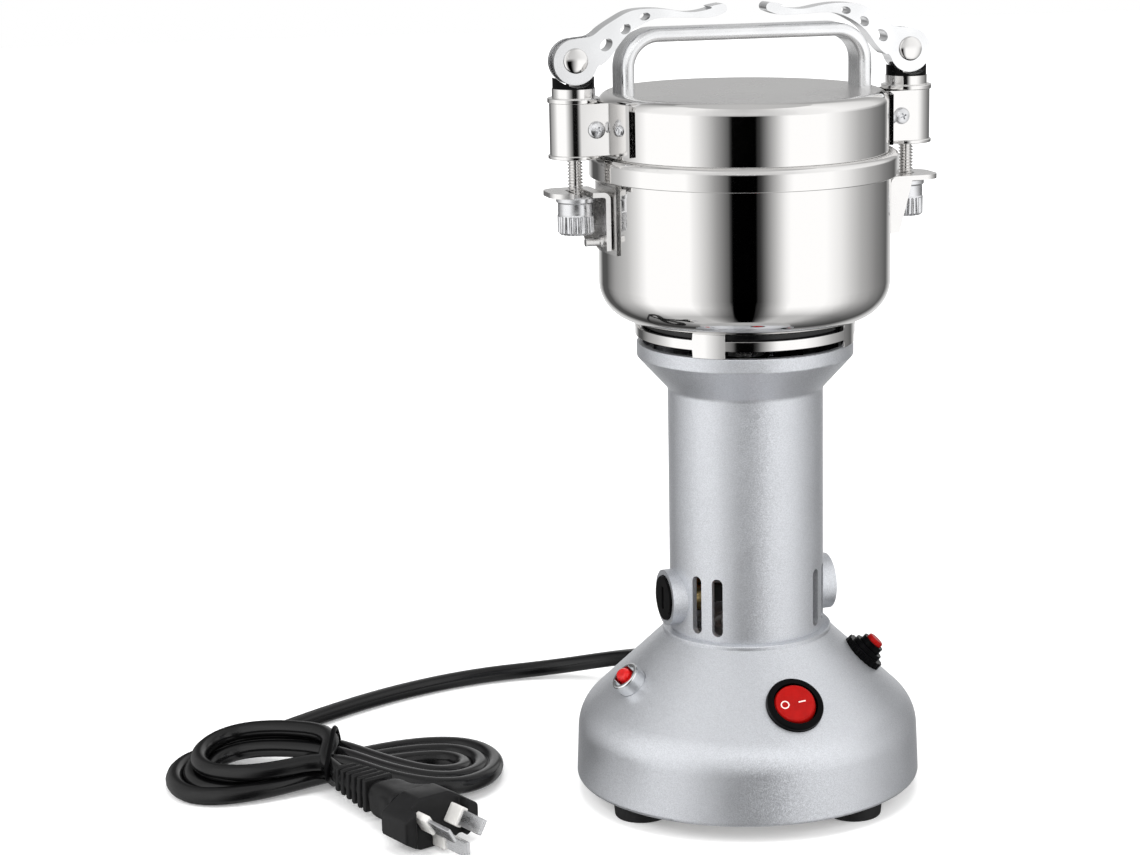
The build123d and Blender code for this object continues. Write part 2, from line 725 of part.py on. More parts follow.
# ================================================================ lid
lid_inner = lid_radius - sheet
rivet_angles = [90 * side + turn for side in sides for turn in (-strap_rivet_angle, strap_rivet_angle)]
strap_middle = (strap_top + strap_foot) / 2
screw_spots = [(side_x * (handle_span / 2 - handle_thickness / 2), side_y * handle_screw_spread)
               for side_x in sides for side_y in sides]
handle_screw_hole = 1.5
with BuildPart() as lid_shell:
    add(turned(
        (0, lid_top), (lid_radius, lid_top), (lid_radius, lid_z), (lid_inner, lid_z),
        (lid_inner, lid_top - sheet), (0, lid_top - sheet),
        rounds=[0, lid_fillet, 0, 0, lid_fillet - sheet, 0]))
    revolve(axis=Axis.Z)
    with Locations([(x, y, 0) for x, y in screw_spots]):
        rod(handle_screw_hole, lid_top - 3, lid_top + 1, mode=Mode.SUBTRACT)
    for angle in rivet_angles:
        with BuildSketch(side_plane(angle, lid_radius, strap_middle)):
            Circle(strap_rivet_radius + slip)
        extrude(amount=3, both=True, mode=Mode.SUBTRACT)

gasket_outer = lid_radius + strap_gap
with BuildPart() as lid_gasket:
    add(turned(
        (gasket_inner, bowl_rim + seat_gap - gasket_lip), (gasket_skirt, bowl_rim - gasket_lip),
        (gasket_skirt, bowl_rim + seat_gap), (gasket_outer, bowl_rim + seat_gap),
        (gasket_outer, lid_z - seat_gap), (gasket_inner, lid_z - seat_gap)))
    revolve(axis=Axis.Z)

grip_x = handle_span / 2 - handle_thickness / 2
grip_z = handle_top - handle_thickness / 2
with BuildPart() as handle:
    with BuildLine() as grip:
        FilletPolyline(
            (-grip_x, 0, lid_top), (-grip_x, 0, grip_z), (grip_x, 0, grip_z), (grip_x, 0, lid_top),
            radius=handle_corner - handle_thickness / 2)
    with BuildSketch(Plane(origin=(-grip_x, 0, lid_top), x_dir=(0, 1, 0), z_dir=(0, 0, 1))):
        RectangleRounded(handle_width, handle_thickness, handle_edge)
    sweep(path=grip.line)
    with Locations([(x, y, 0) for x, y in screw_spots]):
        rod(1.25, lid_top, lid_top + 8, mode=Mode.SUBTRACT)

with BuildPart() as handle_screws:
    with Locations([(x, y, 0) for x, y in screw_spots]):
        rod(1.2, lid_top - sheet, lid_top + 7)
        rod(2.3, lid_top - sheet - 2, lid_top - sheet)

# ================================================================ clamps on the lid
strap_inner = lid_radius + strap_gap
strap_outer = strap_inner + strap_sheet
bend_inner = strap_bend_radius - strap_sheet
screw_x = clamp_reach - clamp_screw_offset
with BuildPart() as clamp_straps:
    for side in sides:
        with BuildSketch(Plane.XY.offset(strap_foot)):
            with Locations((side * clamp_reach, 0)):
                Circle(strap_bend_radius)
            with Locations((side * (clamp_reach + strap_inner - 3) / 2, 0)):
                Rectangle(clamp_reach - strap_inner + 3, 2 * strap_bend_radius)
            add(ring_sector(strap_inner, strap_outer, 90 - 90 * side, strap_wing))
            with Locations((side * clamp_reach, 0)):
                Circle(bend_inner, mode=Mode.SUBTRACT)
            with Locations((side * (clamp_reach / 2), 0)):
                Rectangle(clamp_reach, 2 * bend_inner, mode=Mode.SUBTRACT)
            Circle(strap_inner, mode=Mode.SUBTRACT)
        extrude(amount=strap_height)
    for angle in rivet_angles:
        with BuildSketch(side_plane(angle, lid_radius, strap_middle)):
            Circle(strap_rivet_radius + slip)
        extrude(amount=3, both=True, mode=Mode.SUBTRACT)
    with BuildSketch(Plane.XZ):
        with Locations((-screw_x, strap_middle), (screw_x, strap_middle)):
            Circle(clamp_screw_radius + slip)
    extrude(amount=strap_bend_radius + 1, both=True, mode=Mode.SUBTRACT)

screw_head_radius = 3.35
screw_head_height = 1.8
with BuildPart() as strap_fasteners:
    for angle in rivet_angles:
        with BuildSketch(side_plane(angle, strap_outer + 0.05, strap_middle)):
            Circle(2.2)
        extrude(amount=1.1)
        with BuildSketch(side_plane(angle, strap_outer + 0.05, strap_middle)):
            Circle(strap_rivet_radius)
        extrude(amount=-(strap_outer + 0.05 - lid_inner + 0.9))
    with BuildSketch(Plane.XZ.offset(strap_bend_radius)):
        with Locations((-screw_x, strap_middle), (screw_x, strap_middle)):
            Circle(screw_head_radius)
    extrude(amount=screw_head_height)
    with BuildSketch(Plane.XZ.offset(strap_bend_radius)):
        with Locations((-screw_x, strap_middle), (screw_x, strap_middle)):
            Circle(clamp_screw_radius)
    extrude(amount=-2 * strap_bend_radius)
    with BuildSketch(Plane.XZ.offset(-strap_bend_radius)):
        with Locations((-screw_x, strap_middle), (screw_x, strap_middle)):
            RegularPolygon(2.9, 6, major_radius=False)
    extrude(amount=-2.2)

bolt_bore = bolt_radius + bolt_play
lower_flange = 1.5
with BuildPart() as bolt_sleeves:
    with Locations((-clamp_reach, 0, 0), (clamp_reach, 0, 0)):
        rod(flange_radius, strap_foot - lower_flange, strap_foot)
        rod(sleeve_radius, strap_foot, strap_top)
        rod(flange_radius, strap_top, clamp_collar_foot)
        rod(clamp_collar_radius, clamp_collar_foot, cup_foot)
        rod(bolt_bore, strap_foot - lower_flange, cup_foot, mode=Mode.SUBTRACT)
    fillet(bolt_sleeves.edges().filter_by(GeomType.CIRCLE).filter_by(
        lambda e: abs(e.radius - flange_radius) < 0.01), 0.4)

with BuildPart() as saddle_cups:
    with Locations((-clamp_reach, 0, 0), (clamp_reach, 0, 0)):
        rod(cup_radius, cup_foot, cup_top)
        rod(bolt_bore, cup_foot, cup_top, mode=Mode.SUBTRACT)
        with Locations((0, 0, cup_foot + cup_floor + cup_hollow)):
            Cylinder(cup_hollow, 3 * cup_radius, rotation=(90, 0, 0), mode=Mode.SUBTRACT)

# ================================================================ bolts, pins, levers and nuts
bolt_end = pin_z - bolt_length
clamp_nut_top = hook_under - clamp_nut_play
clamp_nut_foot = clamp_nut_top - clamp_nut_height
lever_half = lever_width / 2


def clamp_bolt(side):
    """Threaded rod flattened to an eye for the lever pin."""
    with BuildPart() as piece:
        with Locations((side * clamp_reach, 0, 0)):
            rod(bolt_radius, bolt_end, pin_z)
        chamfer(piece.edges().sort_by(Axis.Z)[0], 0.6)
        for face in sides:
            with Locations((side * clamp_reach, face * (bolt_flat / 2 + bolt_radius), cup_foot)):
                Box(2 * bolt_radius, 2 * bolt_radius, pin_z, align=STANDING, mode=Mode.SUBTRACT)
        with BuildSketch(Plane.XZ):
            with Locations((side * clamp_reach, pin_z)):
                Circle(eye_radius)
        extrude(amount=bolt_flat / 2, both=True)
        with BuildSketch(Plane.XZ):
            with Locations((side * clamp_reach, pin_z)):
                Circle(lever_pin_radius + slip)
        extrude(amount=bolt_flat, both=True, mode=Mode.SUBTRACT)
    return piece


def lever_pin(side):
    """Pin through the lever's fork and the bolt's eye, with a dome at each end."""
    with BuildPart(Plane(origin=(side * clamp_reach, 0, pin_z), z_dir=(0, -1, 0))) as piece:
        rod(lever_pin_radius, -lever_half - slip, lever_half + slip)
        for face in sides:
            foot = face * (lever_half + slip)
            rod(pin_head_radius, min(foot, foot + face * pin_head_height),
                max(foot, foot + face * pin_head_height))
        ends = piece.edges().filter_by(GeomType.CIRCLE).group_by(Axis.Y)
        fillet(ends[0] + ends[-1], pin_head_height - 0.3)
    return piece


lever_top = ((6, 9), (10, 11.6), (16.1, 15.3), (21.6, 17.9), (27.1, 18.7), (32.7, 18.7), (40.4, 17.7),
             (49.3, 17.1), (54.8, 18.4), (59.3, 19.8))
lever_under = ((60.4, 16.6), (54.8, 14.8), (49.3, 14.8), (42.7, 15.0), (31.6, 14.8), (27.1, 13.2),
               (23.8, 11.4), (20.5, 9.0), (17.2, 5.4), (13.0, 0.2), (10, -1.9))
lever_tip_share = 0.5615   # radius of the tip over the distance that it spans
lever_holes = ((12.2, 5.6, 5.5, 4.0, 42), (19.9, 11.3, 4.5, 3.5, 38), (27.7, 15.8, 4.3, 2.8, 12))


def clamp_lever(side):
    """Cam head round the pin and a curved arm that lies over the handle when it is closed."""
    with BuildPart() as piece:
        with BuildSketch(Plane(origin=(side * clamp_reach, 0, pin_z), x_dir=(-side, 0, 0),
                               z_dir=(0, side, 0))):
            with BuildLine():
                head_top = (0, lever_head_radius - cam_offset)
                head_under = (8.2, -3.4)
                upper = Spline(head_top, *lever_top, tangents=((1, 0.25), (1, 0.15)))
                tip_span = (Vector(*lever_top[-1]) - Vector(*lever_under[0])).length
                tip = RadiusArc(upper @ 1, lever_under[0], lever_tip_share * tip_span)
                lower = Spline(tip @ 1, *lever_under[1:], head_under, tangents=((-1, -0.45), (-0.6, -1)))
                Line(lower @ 1, (0, -cam_offset))
                Line((0, -cam_offset), head_top)
            make_face()
            with Locations((0, -cam_offset)):
                Circle(lever_head_radius)
            Circle(lever_pin_radius + slip, mode=Mode.SUBTRACT)
            for along, above, length, width, tilt in lever_holes:
                with Locations((along, above)):
                    Ellipse(length / 2, width / 2, rotation=tilt, mode=Mode.SUBTRACT)
        extrude(amount=lever_half, both=True)
        fork_length = 4 * lever_head_radius
        with BuildSketch(Plane.XZ):
            with Locations((side * (clamp_reach - fork_depth + fork_length / 2), pin_z)):
                Rectangle(fork_length, fork_length)
        extrude(amount=fork_width / 2, both=True, mode=Mode.SUBTRACT)
    return piece


def clamp_nut(side):
    """Thumb nut with a knurled lower half."""
    with BuildPart() as piece:
        knurl_top = clamp_nut_top - clamp_nut_collar - clamp_nut_neck
        with Locations((side * clamp_reach, 0, 0)):
            rod(clamp_nut_radius, clamp_nut_foot, knurl_top)
            rod(clamp_nut_radius - 0.1, knurl_top, clamp_nut_top - clamp_nut_collar)
            rod(clamp_nut_radius + 0.4, clamp_nut_top - clamp_nut_collar, clamp_nut_top)
        chamfer(piece.faces().sort_by(Axis.Z)[-1].edges(), 0.5)
        with Locations((side * clamp_reach, 0, 0)):
            with PolarLocations(clamp_nut_radius + 0.15, knurl_flutes):
                rod(0.55, clamp_nut_foot, knurl_top, mode=Mode.SUBTRACT)
            rod(bolt_radius + slip, clamp_nut_foot, clamp_nut_top, mode=Mode.SUBTRACT)
    return piece


# ================================================================ hooks on the bowl
leg_inner = bowl_radius + hook_stand_off
leg_outer = leg_inner + hook_sheet
leg_foot = hook_top - hook_leg_height
gusset_sheet = hook_sheet
doubler_inner = bowl_radius + slip
doubler_middle = leg_foot + hook_leg_height / 2
rivet_z = leg_foot + 3.1
rivet_y = 6.0
rivet_radius = 1.5
with BuildPart() as hook_right:
    with BuildSketch(Plane.XZ.offset(-hook_width / 2)):
        with BuildLine():
            FilletPolyline((leg_inner, leg_foot), (leg_inner, hook_top), (hook_length, hook_top),
                           (hook_length, hook_under), (leg_outer, hook_under), (leg_outer, leg_foot),
                           radius=[0, hook_bend, 0, 0, hook_bend - hook_sheet, 0], close=True)
        make_face()
    extrude(amount=hook_width)
    tongue_corners = hook_right.edges().filter_by(Axis.Z).group_by(Axis.X)[-1]
    fillet(tongue_corners, hook_corner)
    with BuildSketch(Plane.XY.offset(hook_under - 1)):
        with Locations((clamp_reach, (hook_width / 2 - hook_slot_end + hook_slot / 2) / 2)):
            Rectangle(hook_slot, hook_width / 2 + hook_slot_end - hook_slot / 2)
        with Locations((clamp_reach, hook_slot / 2 - hook_slot_end)):
            Circle(hook_slot / 2)
    extrude(amount=hook_sheet + 2, mode=Mode.SUBTRACT)
    with BuildSketch(Plane.XZ.offset(hook_width / 2 - gusset_sheet)):
        with BuildLine():
            Polyline((leg_outer - 0.2, leg_foot), (leg_outer + 1.9, leg_foot),
                     (leg_outer + 7.4, hook_under + 0.2), (leg_outer - 0.2, hook_under + 0.2), close=True)
        make_face()
    extrude(amount=gusset_sheet)
    with BuildSketch(Plane.XY.offset(doubler_middle - doubler_height / 2)):
        add(ring_sector(doubler_inner, doubler_inner + doubler_sheet, 0,
                        degrees(doubler_width / 2 / bowl_radius)))
    extrude(amount=doubler_height)
    with Locations((leg_inner, rivet_y, rivet_z)):
        Cylinder(rivet_radius + slip, 6 * hook_sheet, rotation=(0, 90, 0), mode=Mode.SUBTRACT)

with BuildPart() as hook_brackets:
    for half_turn in (0, 180):
        add(hook_right.part, rotation=(0, 0, half_turn))

with BuildPart() as bracket_rivets:
    for side in sides:
        with BuildPart(Plane(origin=(side * leg_outer, side * rivet_y, rivet_z), z_dir=(side, 0, 0)),
                       mode=Mode.PRIVATE) as rivet:
            rod(rivet_radius, -hook_sheet - 0.2, 7.2)
            rod(2.4, seat_gap, 1.6)
        add(rivet.part)

# ================================================================ switch, lamp and reset button
with BuildPart(switch_plane) as switch_body:
    rod(switch_bezel_radius, switch_seat, switch_bezel_rise)
    fillet(switch_body.edges().filter_by(GeomType.CIRCLE).sort_by_distance(
        switch_plane.offset(20).origin)[0], 0.9)
    rod(switch_hole_radius - 0.1, -11, switch_seat)
    with Locations((0, 0, -15)):
        Box(16, 13, 8)
    with Locations((-5, 0, -22), (0, 0, -22), (5, 0, -22)):
        Box(0.8, 4.8, 6)
    rod(switch_window_radius, -rocker_pivot - rocker_depth - 2, switch_bezel_rise, mode=Mode.SUBTRACT)
    with Locations((0, 0, -rocker_pivot)):
        Cylinder(rocker_axle + slip, 2 * switch_hole_radius - 0.6, rotation=(90, 0, 0), mode=Mode.SUBTRACT)

rocker_lean = radians(rocker_tilt)
rocker_plane = Plane(
    origin=switch_plane.offset(-rocker_pivot).origin,
    x_dir=switch_plane.x_dir * cos(rocker_lean) + switch_plane.z_dir * sin(rocker_lean),
    z_dir=switch_plane.z_dir * cos(rocker_lean) - switch_plane.x_dir * sin(rocker_lean))
with BuildPart(rocker_plane) as rocker:
    Sphere(rocker_radius)
    with Locations((0, 0, (rocker_top - rocker_depth) / 2)):
        Box(2 * rocker_radius, 2 * rocker_radius, rocker_top + rocker_depth, mode=Mode.INTERSECT)
    Cylinder(rocker_axle, 2 * switch_hole_radius - 1, rotation=(90, 0, 0))

lamp_recess = 2.0
with BuildPart(lamp_plane) as lamp_bezel:
    rod(lamp_bezel_radius, lamp_seat, lamp_bezel_rise)
    fillet(lamp_bezel.edges().filter_by(GeomType.CIRCLE).sort_by_distance(
        lamp_plane.offset(20).origin)[0], 0.8)
    rod(lamp_hole_radius - 0.1, -14, lamp_seat)
    rod(lamp_bezel_radius - 1.4, lamp_recess, lamp_bezel_rise, mode=Mode.SUBTRACT)

with BuildPart(lamp_plane) as lamp_lens:
    with BuildSketch(lamp_plane.offset(lamp_recess)):
        Ellipse(lamp_lens_length / 2, lamp_lens_width / 2)
    extrude(amount=lamp_lens_top - lamp_recess)
    fillet(lamp_lens.edges().sort_by_distance(lamp_plane.offset(20).origin)[0], 1.6)

reset_bore = reset_button_radius + 0.1
reset_shoulder = -base_wall - 0.6
with BuildPart(reset_plane) as reset_nut:
    rod(reset_nut_radius, reset_seat, 2.4)
    with PolarLocations(reset_nut_radius + 0.1, 20):
        rod(0.75, reset_seat, 2.4, mode=Mode.SUBTRACT)
    rod(reset_nut_radius - 2.3, 2.4, 4.4)
    rod(reset_neck_radius + slip, reset_seat, 4.4, mode=Mode.SUBTRACT)

with BuildPart(reset_plane) as reset_body:
    rod(reset_neck_radius, reset_shoulder, reset_neck_rise)
    rod(reset_neck_radius + 1.7, reset_shoulder - 18, reset_shoulder)
    with Locations((-3, 0, reset_shoulder - 21), (3, 0, reset_shoulder - 21)):
        Box(0.8, 4.8, 6)
    rod(reset_bore, -4 - reset_travel - 0.5, reset_neck_rise, mode=Mode.SUBTRACT)

with BuildPart(reset_plane) as reset_button:
    rod(reset_button_radius, -4, reset_button_rise)
    fillet(reset_button.edges().filter_by(GeomType.CIRCLE).sort_by_distance(
        reset_plane.offset(30).origin)[0], 0.8)

# ================================================================ mains cord, laid beside the mill
gland_sleeve = gland_end - gland_seat
with BuildPart(gland_plane) as cord_gland:
    rod(gland_flange_radius, 0, 3.1)
    rod(gland_hole_radius - slip, -base_wall - 6, 0)
    with Locations((0, 0, 3.1)):
        Cone(gland_hole_radius, cord_radius + 0.8, gland_sleeve - 3.1, align=STANDING)
    rod(gland_hole_radius + 2, -base_wall - 6, -base_wall - 0.5)

cord_z = cord_radius + cord_rest
lead_points = (
    (0, gland_end, gland_height), (0, 120, gland_height), (-9, 146, 12), (-34, 166, 4.4), (-72, 169, cord_z),
    (-112, 158, cord_z), (-152, 137, cord_z), (-191, 110.1, cord_z))


def cord_radii(points):
    """Arc at each corner of a cord's route: 0.45 of the shorter run over the tangent of half the turn."""
    radii = []
    for before, corner, after in zip(points, points[1:], points[2:]):
        arriving = Vector(*corner) - Vector(*before)
        leaving = Vector(*after) - Vector(*corner)
        half_turn = radians(arriving.get_angle(leaving)) / 2
        radii.append(0.45 * min(arriving.length, leaving.length) / tan(half_turn))
    return radii


lead_radii = cord_radii(lead_points)
print("cord radii", [round(radius, 1) for radius in lead_radii])
with BuildPart() as cord_lead:
    with BuildLine() as lead_path:
        FilletPolyline(*lead_points, radius=lead_radii)
    with BuildSketch(Plane(origin=lead_path.line @ 0, z_dir=lead_path.line % 0)):
        Circle(cord_radius)
    sweep()
lead_length = lead_path.wire().length
print("cord lead", round(lead_length, 1), "volume against section times length",
      round(cord_lead.part.volume / (lead_length * pi * cord_radius ** 2), 4))

hank_heading = radians(hank_turn)
hank_plane = Plane(origin=(*hank_center, cord_rest), x_dir=(cos(hank_heading), sin(hank_heading), 0))
lead_end = Vector(*lead_points[-1])
lead_course = (lead_end - Vector(*lead_points[-2])).normalized()
relief_start = Vector(6, -25, plug_axis_height - cord_rest)
plug_heading = radians(hank_turn + plug_turn)
plug_course = Vector(cos(plug_heading), sin(plug_heading), 0)
relief_foot = hank_plane.from_local_coords(relief_start)
waist_plane = Plane(origin=hank_plane.from_local_coords(Vector(0, 0, hank_height / 2)),
                    x_dir=hank_plane.y_dir, z_dir=hank_plane.x_dir)
with BuildPart() as cord_hank:
    with BuildSketch(hank_plane):
        with Locations((-lobe_length, 0), (lobe_length, 0)):
            Ellipse(lobe_length, lobe_width)
            Ellipse(lobe_length - lobe_band, lobe_width - lobe_band, mode=Mode.SUBTRACT)
        Rectangle(lobe_band, waist_width)
    extrude(amount=hank_height)
    with BuildSketch(waist_plane):
        Rectangle(4 * waist_width, 2 * hank_height)
        Rectangle(waist_width, hank_height - 2 * tie_thickness, mode=Mode.SUBTRACT)
    extrude(amount=tie_width / 2 + slip, both=True, mode=Mode.SUBTRACT)
    with BuildSketch(Plane(origin=lead_end, z_dir=lead_course)):
        Circle(cord_radius)
    extrude(amount=14)
    with BuildSketch(Plane(origin=relief_foot, z_dir=-plug_course)):
        Circle(cord_radius)
    extrude(amount=24)

with BuildPart() as cord_tie:
    with BuildSketch(waist_plane):
        Rectangle(waist_width + 2 * tie_thickness, hank_height)
        Rectangle(waist_width + 2 * slip, hank_height - 2 * tie_thickness + 2 * slip, mode=Mode.SUBTRACT)
    extrude(amount=tie_width / 2, both=True)

plug_plane = Plane(origin=relief_foot, z_dir=plug_course, x_dir=Vector(0, 0, 1).cross(plug_course))
with BuildPart() as plug:
    with BuildSketch(plug_plane):
        Circle(cord_radius + 0.5)
    with BuildSketch(plug_plane.offset(relief_length)):
        Circle(6.6)
    loft()
    with BuildSketch(plug_plane.offset(relief_length)):
        RectangleRounded(17, 14, 5)
    with BuildSketch(plug_plane.offset(relief_length + 14)):
        RectangleRounded(27, 19, 7)
    with BuildSketch(plug_plane.offset(relief_length + 26)):
        RectangleRounded(30, 20, 8)
    loft()
    with BuildSketch(plug_plane.offset(relief_length + 26)):
        RectangleRounded(34, 21.5, 9)
    extrude(amount=plug_length - 26)

pin_root = relief_length + plug_length
with BuildPart() as plug_pins:
    with BuildSketch(plug_plane.offset(pin_root)):
        with Locations((-6.9, 1.8)):
            Rectangle(1.6, 6.3, rotation=30)
        with Locations((6.9, 1.8)):
            Rectangle(1.6, 6.3, rotation=-30)
        with Locations((0, -5.6)):
            Rectangle(1.6, 6.3)
    extrude(amount=plug_pin_length)

# ================================================================ files
pieces = {
    "base_housing": base_housing, "base_plate": base_plate, "base_screws": base_screws,
    "rubber_feet": rubber_feet, "motor_housing": motor_housing, "lower_bracket": lower_bracket,
    "bearings": bearings, "stator_core": stator_core, "field_coils": field_coils,
    "brush_holders": brush_holders, "carbon_brushes": carbon_brushes, "brush_springs": brush_springs,
    "brush_caps": brush_caps, "switch_body": switch_body, "rocker": rocker, "lamp_bezel": lamp_bezel,
    "lamp_lens": lamp_lens, "reset_body": reset_body, "reset_nut": reset_nut,
    "reset_button": reset_button, "vent_ring": vent_ring, "insulator": insulator,
    "mount_screws": mount_screws, "bowl": bowl, "bowl_hub": bowl_hub, "shaft_seal": shaft_seal,
    "hook_brackets": hook_brackets, "bracket_rivets": bracket_rivets, "cord_gland": cord_gland,
    "cord_lead": cord_lead, "cord_hank": cord_hank, "cord_tie": cord_tie, "plug": plug,
    "plug_pins": plug_pins, "shaft": shaft, "armature_core": armature_core,
    "armature_windings": armature_windings, "commutator": commutator, "fan": fan,
    "blade_lower": blade_lower, "blade_middle": blade_middle, "blade_upper": blade_upper,
    "blade_spacers": blade_spacers, "blade_nut": blade_nut, "lid_shell": lid_shell,
    "lid_gasket": lid_gasket, "handle": handle, "handle_screws": handle_screws,
    "clamp_straps": clamp_straps, "strap_fasteners": strap_fasteners, "bolt_sleeves": bolt_sleeves,
    "saddle_cups": saddle_cups,
}
for side, name in ((-1, "left"), (1, "right")):
    pieces["bolt_" + name] = clamp_bolt(side)
    pieces["lever_pin_" + name] = lever_pin(side)
    pieces["lever_" + name] = clamp_lever(side)
    pieces["nut_" + name] = clamp_nut(side)

os.makedirs("parts", exist_ok=True)
for name, piece in pieces.items():
    piece.part.label = name
    export_step(piece.part, "parts/" + name + ".step")
print(len(pieces), "pieces")
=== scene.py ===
"""Looks of an electric grain mill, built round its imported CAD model.

The mill stands on z = 0 with its axis on Z and its front at -Y, and the two lid clamps lie on the
X axis. Blender's lengths are metres. Outlines and places in this file are millimetres, which MM
turns into metres, apart from the cord's route. An angle round the axis is counted from the front,
positive toward +X.
"""

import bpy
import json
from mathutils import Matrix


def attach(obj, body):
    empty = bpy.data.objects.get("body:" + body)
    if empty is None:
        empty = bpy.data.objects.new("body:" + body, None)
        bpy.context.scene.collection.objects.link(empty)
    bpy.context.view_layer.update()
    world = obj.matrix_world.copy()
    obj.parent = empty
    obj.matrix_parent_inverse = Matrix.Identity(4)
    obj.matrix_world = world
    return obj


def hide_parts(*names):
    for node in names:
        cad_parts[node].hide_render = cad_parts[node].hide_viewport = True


bl_info = {
    "name": "Grain mill finishes",
    "version": (1, 0, 0),
    "blender": (4, 5, 0),
    "location": "View3D > Sidebar > Mill",
    "description": "Dresses the CAD model of an electric grain mill with finishes and fine detail",
    "category": "Object",
}

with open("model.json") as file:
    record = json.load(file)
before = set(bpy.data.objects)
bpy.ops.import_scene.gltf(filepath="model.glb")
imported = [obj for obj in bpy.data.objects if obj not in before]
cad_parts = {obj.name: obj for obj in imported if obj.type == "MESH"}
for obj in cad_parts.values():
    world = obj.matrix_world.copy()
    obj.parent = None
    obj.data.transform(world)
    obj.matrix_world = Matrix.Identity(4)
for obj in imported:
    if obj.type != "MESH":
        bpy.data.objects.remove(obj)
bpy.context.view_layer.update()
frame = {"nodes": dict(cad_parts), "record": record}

import json
from math import acos, atan2, cos, pi, radians, sin, tan

import bpy
from bpy.props import FloatProperty, FloatVectorProperty, IntProperty, PointerProperty
from mathutils import Matrix, Vector
from mathutils.geometry import convex_hull_2d

MM = 0.001
SIDES = (("left", -1), ("right", 1))
BODIES = frame["record"]["behaviour"]["bodies"]
NODE_BODY = {node: body for body, nodes in BODIES.items() for node in nodes}
finishes = {}

# ---------------------------------------------------------------- places, in mm where no note says else
CLAMP_X = 69.0                        # clamp bolts, from the mill's axis
NECK_RADIUS, NECK_Z = 33.4, 67.8      # top of the base's cone
CONE_SLOPE = 1.05373                  # radius gained per length down the cone
SWITCH_Z = 49.5
STRAP_SCREW_X, STRAP_MIDDLE = 63.0, 272.65
PIN_Z, LEVER_HALF = 298.4, 4.0        # lever pins, and half the levers' width
THREAD_FOOT, THREAD_TURNS = 232.5, 23
FLUTE_DEPTH = 0.085                   # share of the thumb nuts' radius
GLAND_SEAT = 68.73

# The cord's route from the gland to the hank, in metres.
CORD_ROUTE = (
    (0, 0.097, 0.020), (0, 0.120, 0.020), (-0.009, 0.146, 0.012), (-0.034, 0.166, 0.0044),
    (-0.072, 0.169, 0.0037), (-0.112, 0.158, 0.0037), (-0.152, 0.137, 0.0037))
HANK_CENTER = (-157.0, 66.0)
HANK_TURN = -20.5
PLUG_START = (6.0, -25.0, 11.0)           # in the hank's own axes
PLUG_TURN = -50.0
TIE_RADIUS = 0.00105                      # in metres
PIN_ROOT, CHANNEL_DEPTH = 73.0, 5.0       # face that the pins leave, and the channel across it
PINS = ((-6.9, 1.8, 30), (6.9, 1.8, -30), (0, -5.6, 0))     # across, up, turn
VIEW_ANGLE = -20.5                        # of the camera round the axis
TENT_RADIUS, TENT_HEIGHT = 0.45, 1.1      # of the cards that the metal mirrors, in metres


# ================================================================ settings
class MillSizes(bpy.types.PropertyGroup):
    cord_diameter: FloatProperty(
        name="Cord diameter", description="Diameter of the mains cord", default=0.0072,
        min=0.005, max=0.01, subtype="DISTANCE", unit="LENGTH")
    cord_length: FloatProperty(
        name="Cord length", description="Length of the mains cord from the gland to the plug",
        default=1.32, min=0.5, max=3.0, subtype="DISTANCE", unit="LENGTH")
    thread_pitch: FloatProperty(
        name="Thread pitch", description="Pitch of the thread on the clamp bolts", default=0.00125,
        min=0.0005, max=0.002, subtype="DISTANCE", unit="LENGTH")
    thread_radius: FloatProperty(
        name="Thread radius", description="Outer radius of the thread on the clamp bolts",
        default=0.003, min=0.002, max=0.004, subtype="DISTANCE", unit="LENGTH")
    nut_flutes: IntProperty(
        name="Nut flutes", description="Flutes round the lower half of each thumb nut", default=22,
        min=12, max=36)
    edge_round: FloatProperty(
        name="Edge round", description="Round on the cut edges of sheet parts", default=0.0003,
        min=0.0001, max=0.001, subtype="DISTANCE", unit="LENGTH")
    flake_size: FloatProperty(
        name="Flake size", description="Size of the metal flakes in the paint", default=0.00024,
        min=0.0001, max=0.001, subtype="DISTANCE", unit="LENGTH")


class MillColours(bpy.types.PropertyGroup):
    paint: FloatVectorProperty(
        name="Paint", description="Silver paint on the base and the column",
        default=(0.605, 0.62, 0.65), min=0, max=1, subtype="COLOR")
    steel: FloatVectorProperty(
        name="Steel", description="Polished stainless steel of the bowl and the lid",
        default=(0.80, 0.79, 0.78), min=0, max=1, subtype="COLOR")
    aluminium: FloatVectorProperty(
        name="Aluminium", description="Levers and handle", default=(0.86, 0.865, 0.875), min=0, max=1,
        subtype="COLOR")
    zinc: FloatVectorProperty(
        name="Zinc", description="Thumb nuts and screws", default=(0.74, 0.745, 0.76), min=0, max=1,
        subtype="COLOR")
    black: FloatVectorProperty(
        name="Black plastic", description="Switch bezel, caps and plug", default=(0.002, 0.002, 0.0022),
        min=0, max=1, subtype="COLOR")
    red: FloatVectorProperty(
        name="Red plastic", description="Rocker and reset button", default=(0.30, 0.0037, 0.0028),
        min=0, max=1, subtype="COLOR")
    lens: FloatVectorProperty(
        name="Lens", description="Lens of the lamp", default=(0.55, 0.008, 0.008), min=0, max=1,
        subtype="COLOR")


# ================================================================ helpers for meshes
def clear_selection():
    if bpy.context.object and bpy.context.object.mode != "OBJECT":
        bpy.ops.object.mode_set(mode="OBJECT")
    bpy.ops.object.select_all(action="DESELECT")


def take(piece):
    """Makes a piece the only selected and the active one."""
    clear_selection()
    piece.select_set(True)
    bpy.context.view_layer.objects.active = piece
    return piece


def named(name):
    """Names the active object and its mesh, and applies its place."""
    piece = bpy.context.object
    piece.name = piece.data.name = name
    bpy.ops.object.transform_apply(location=True, rotation=True, scale=True)
    return piece


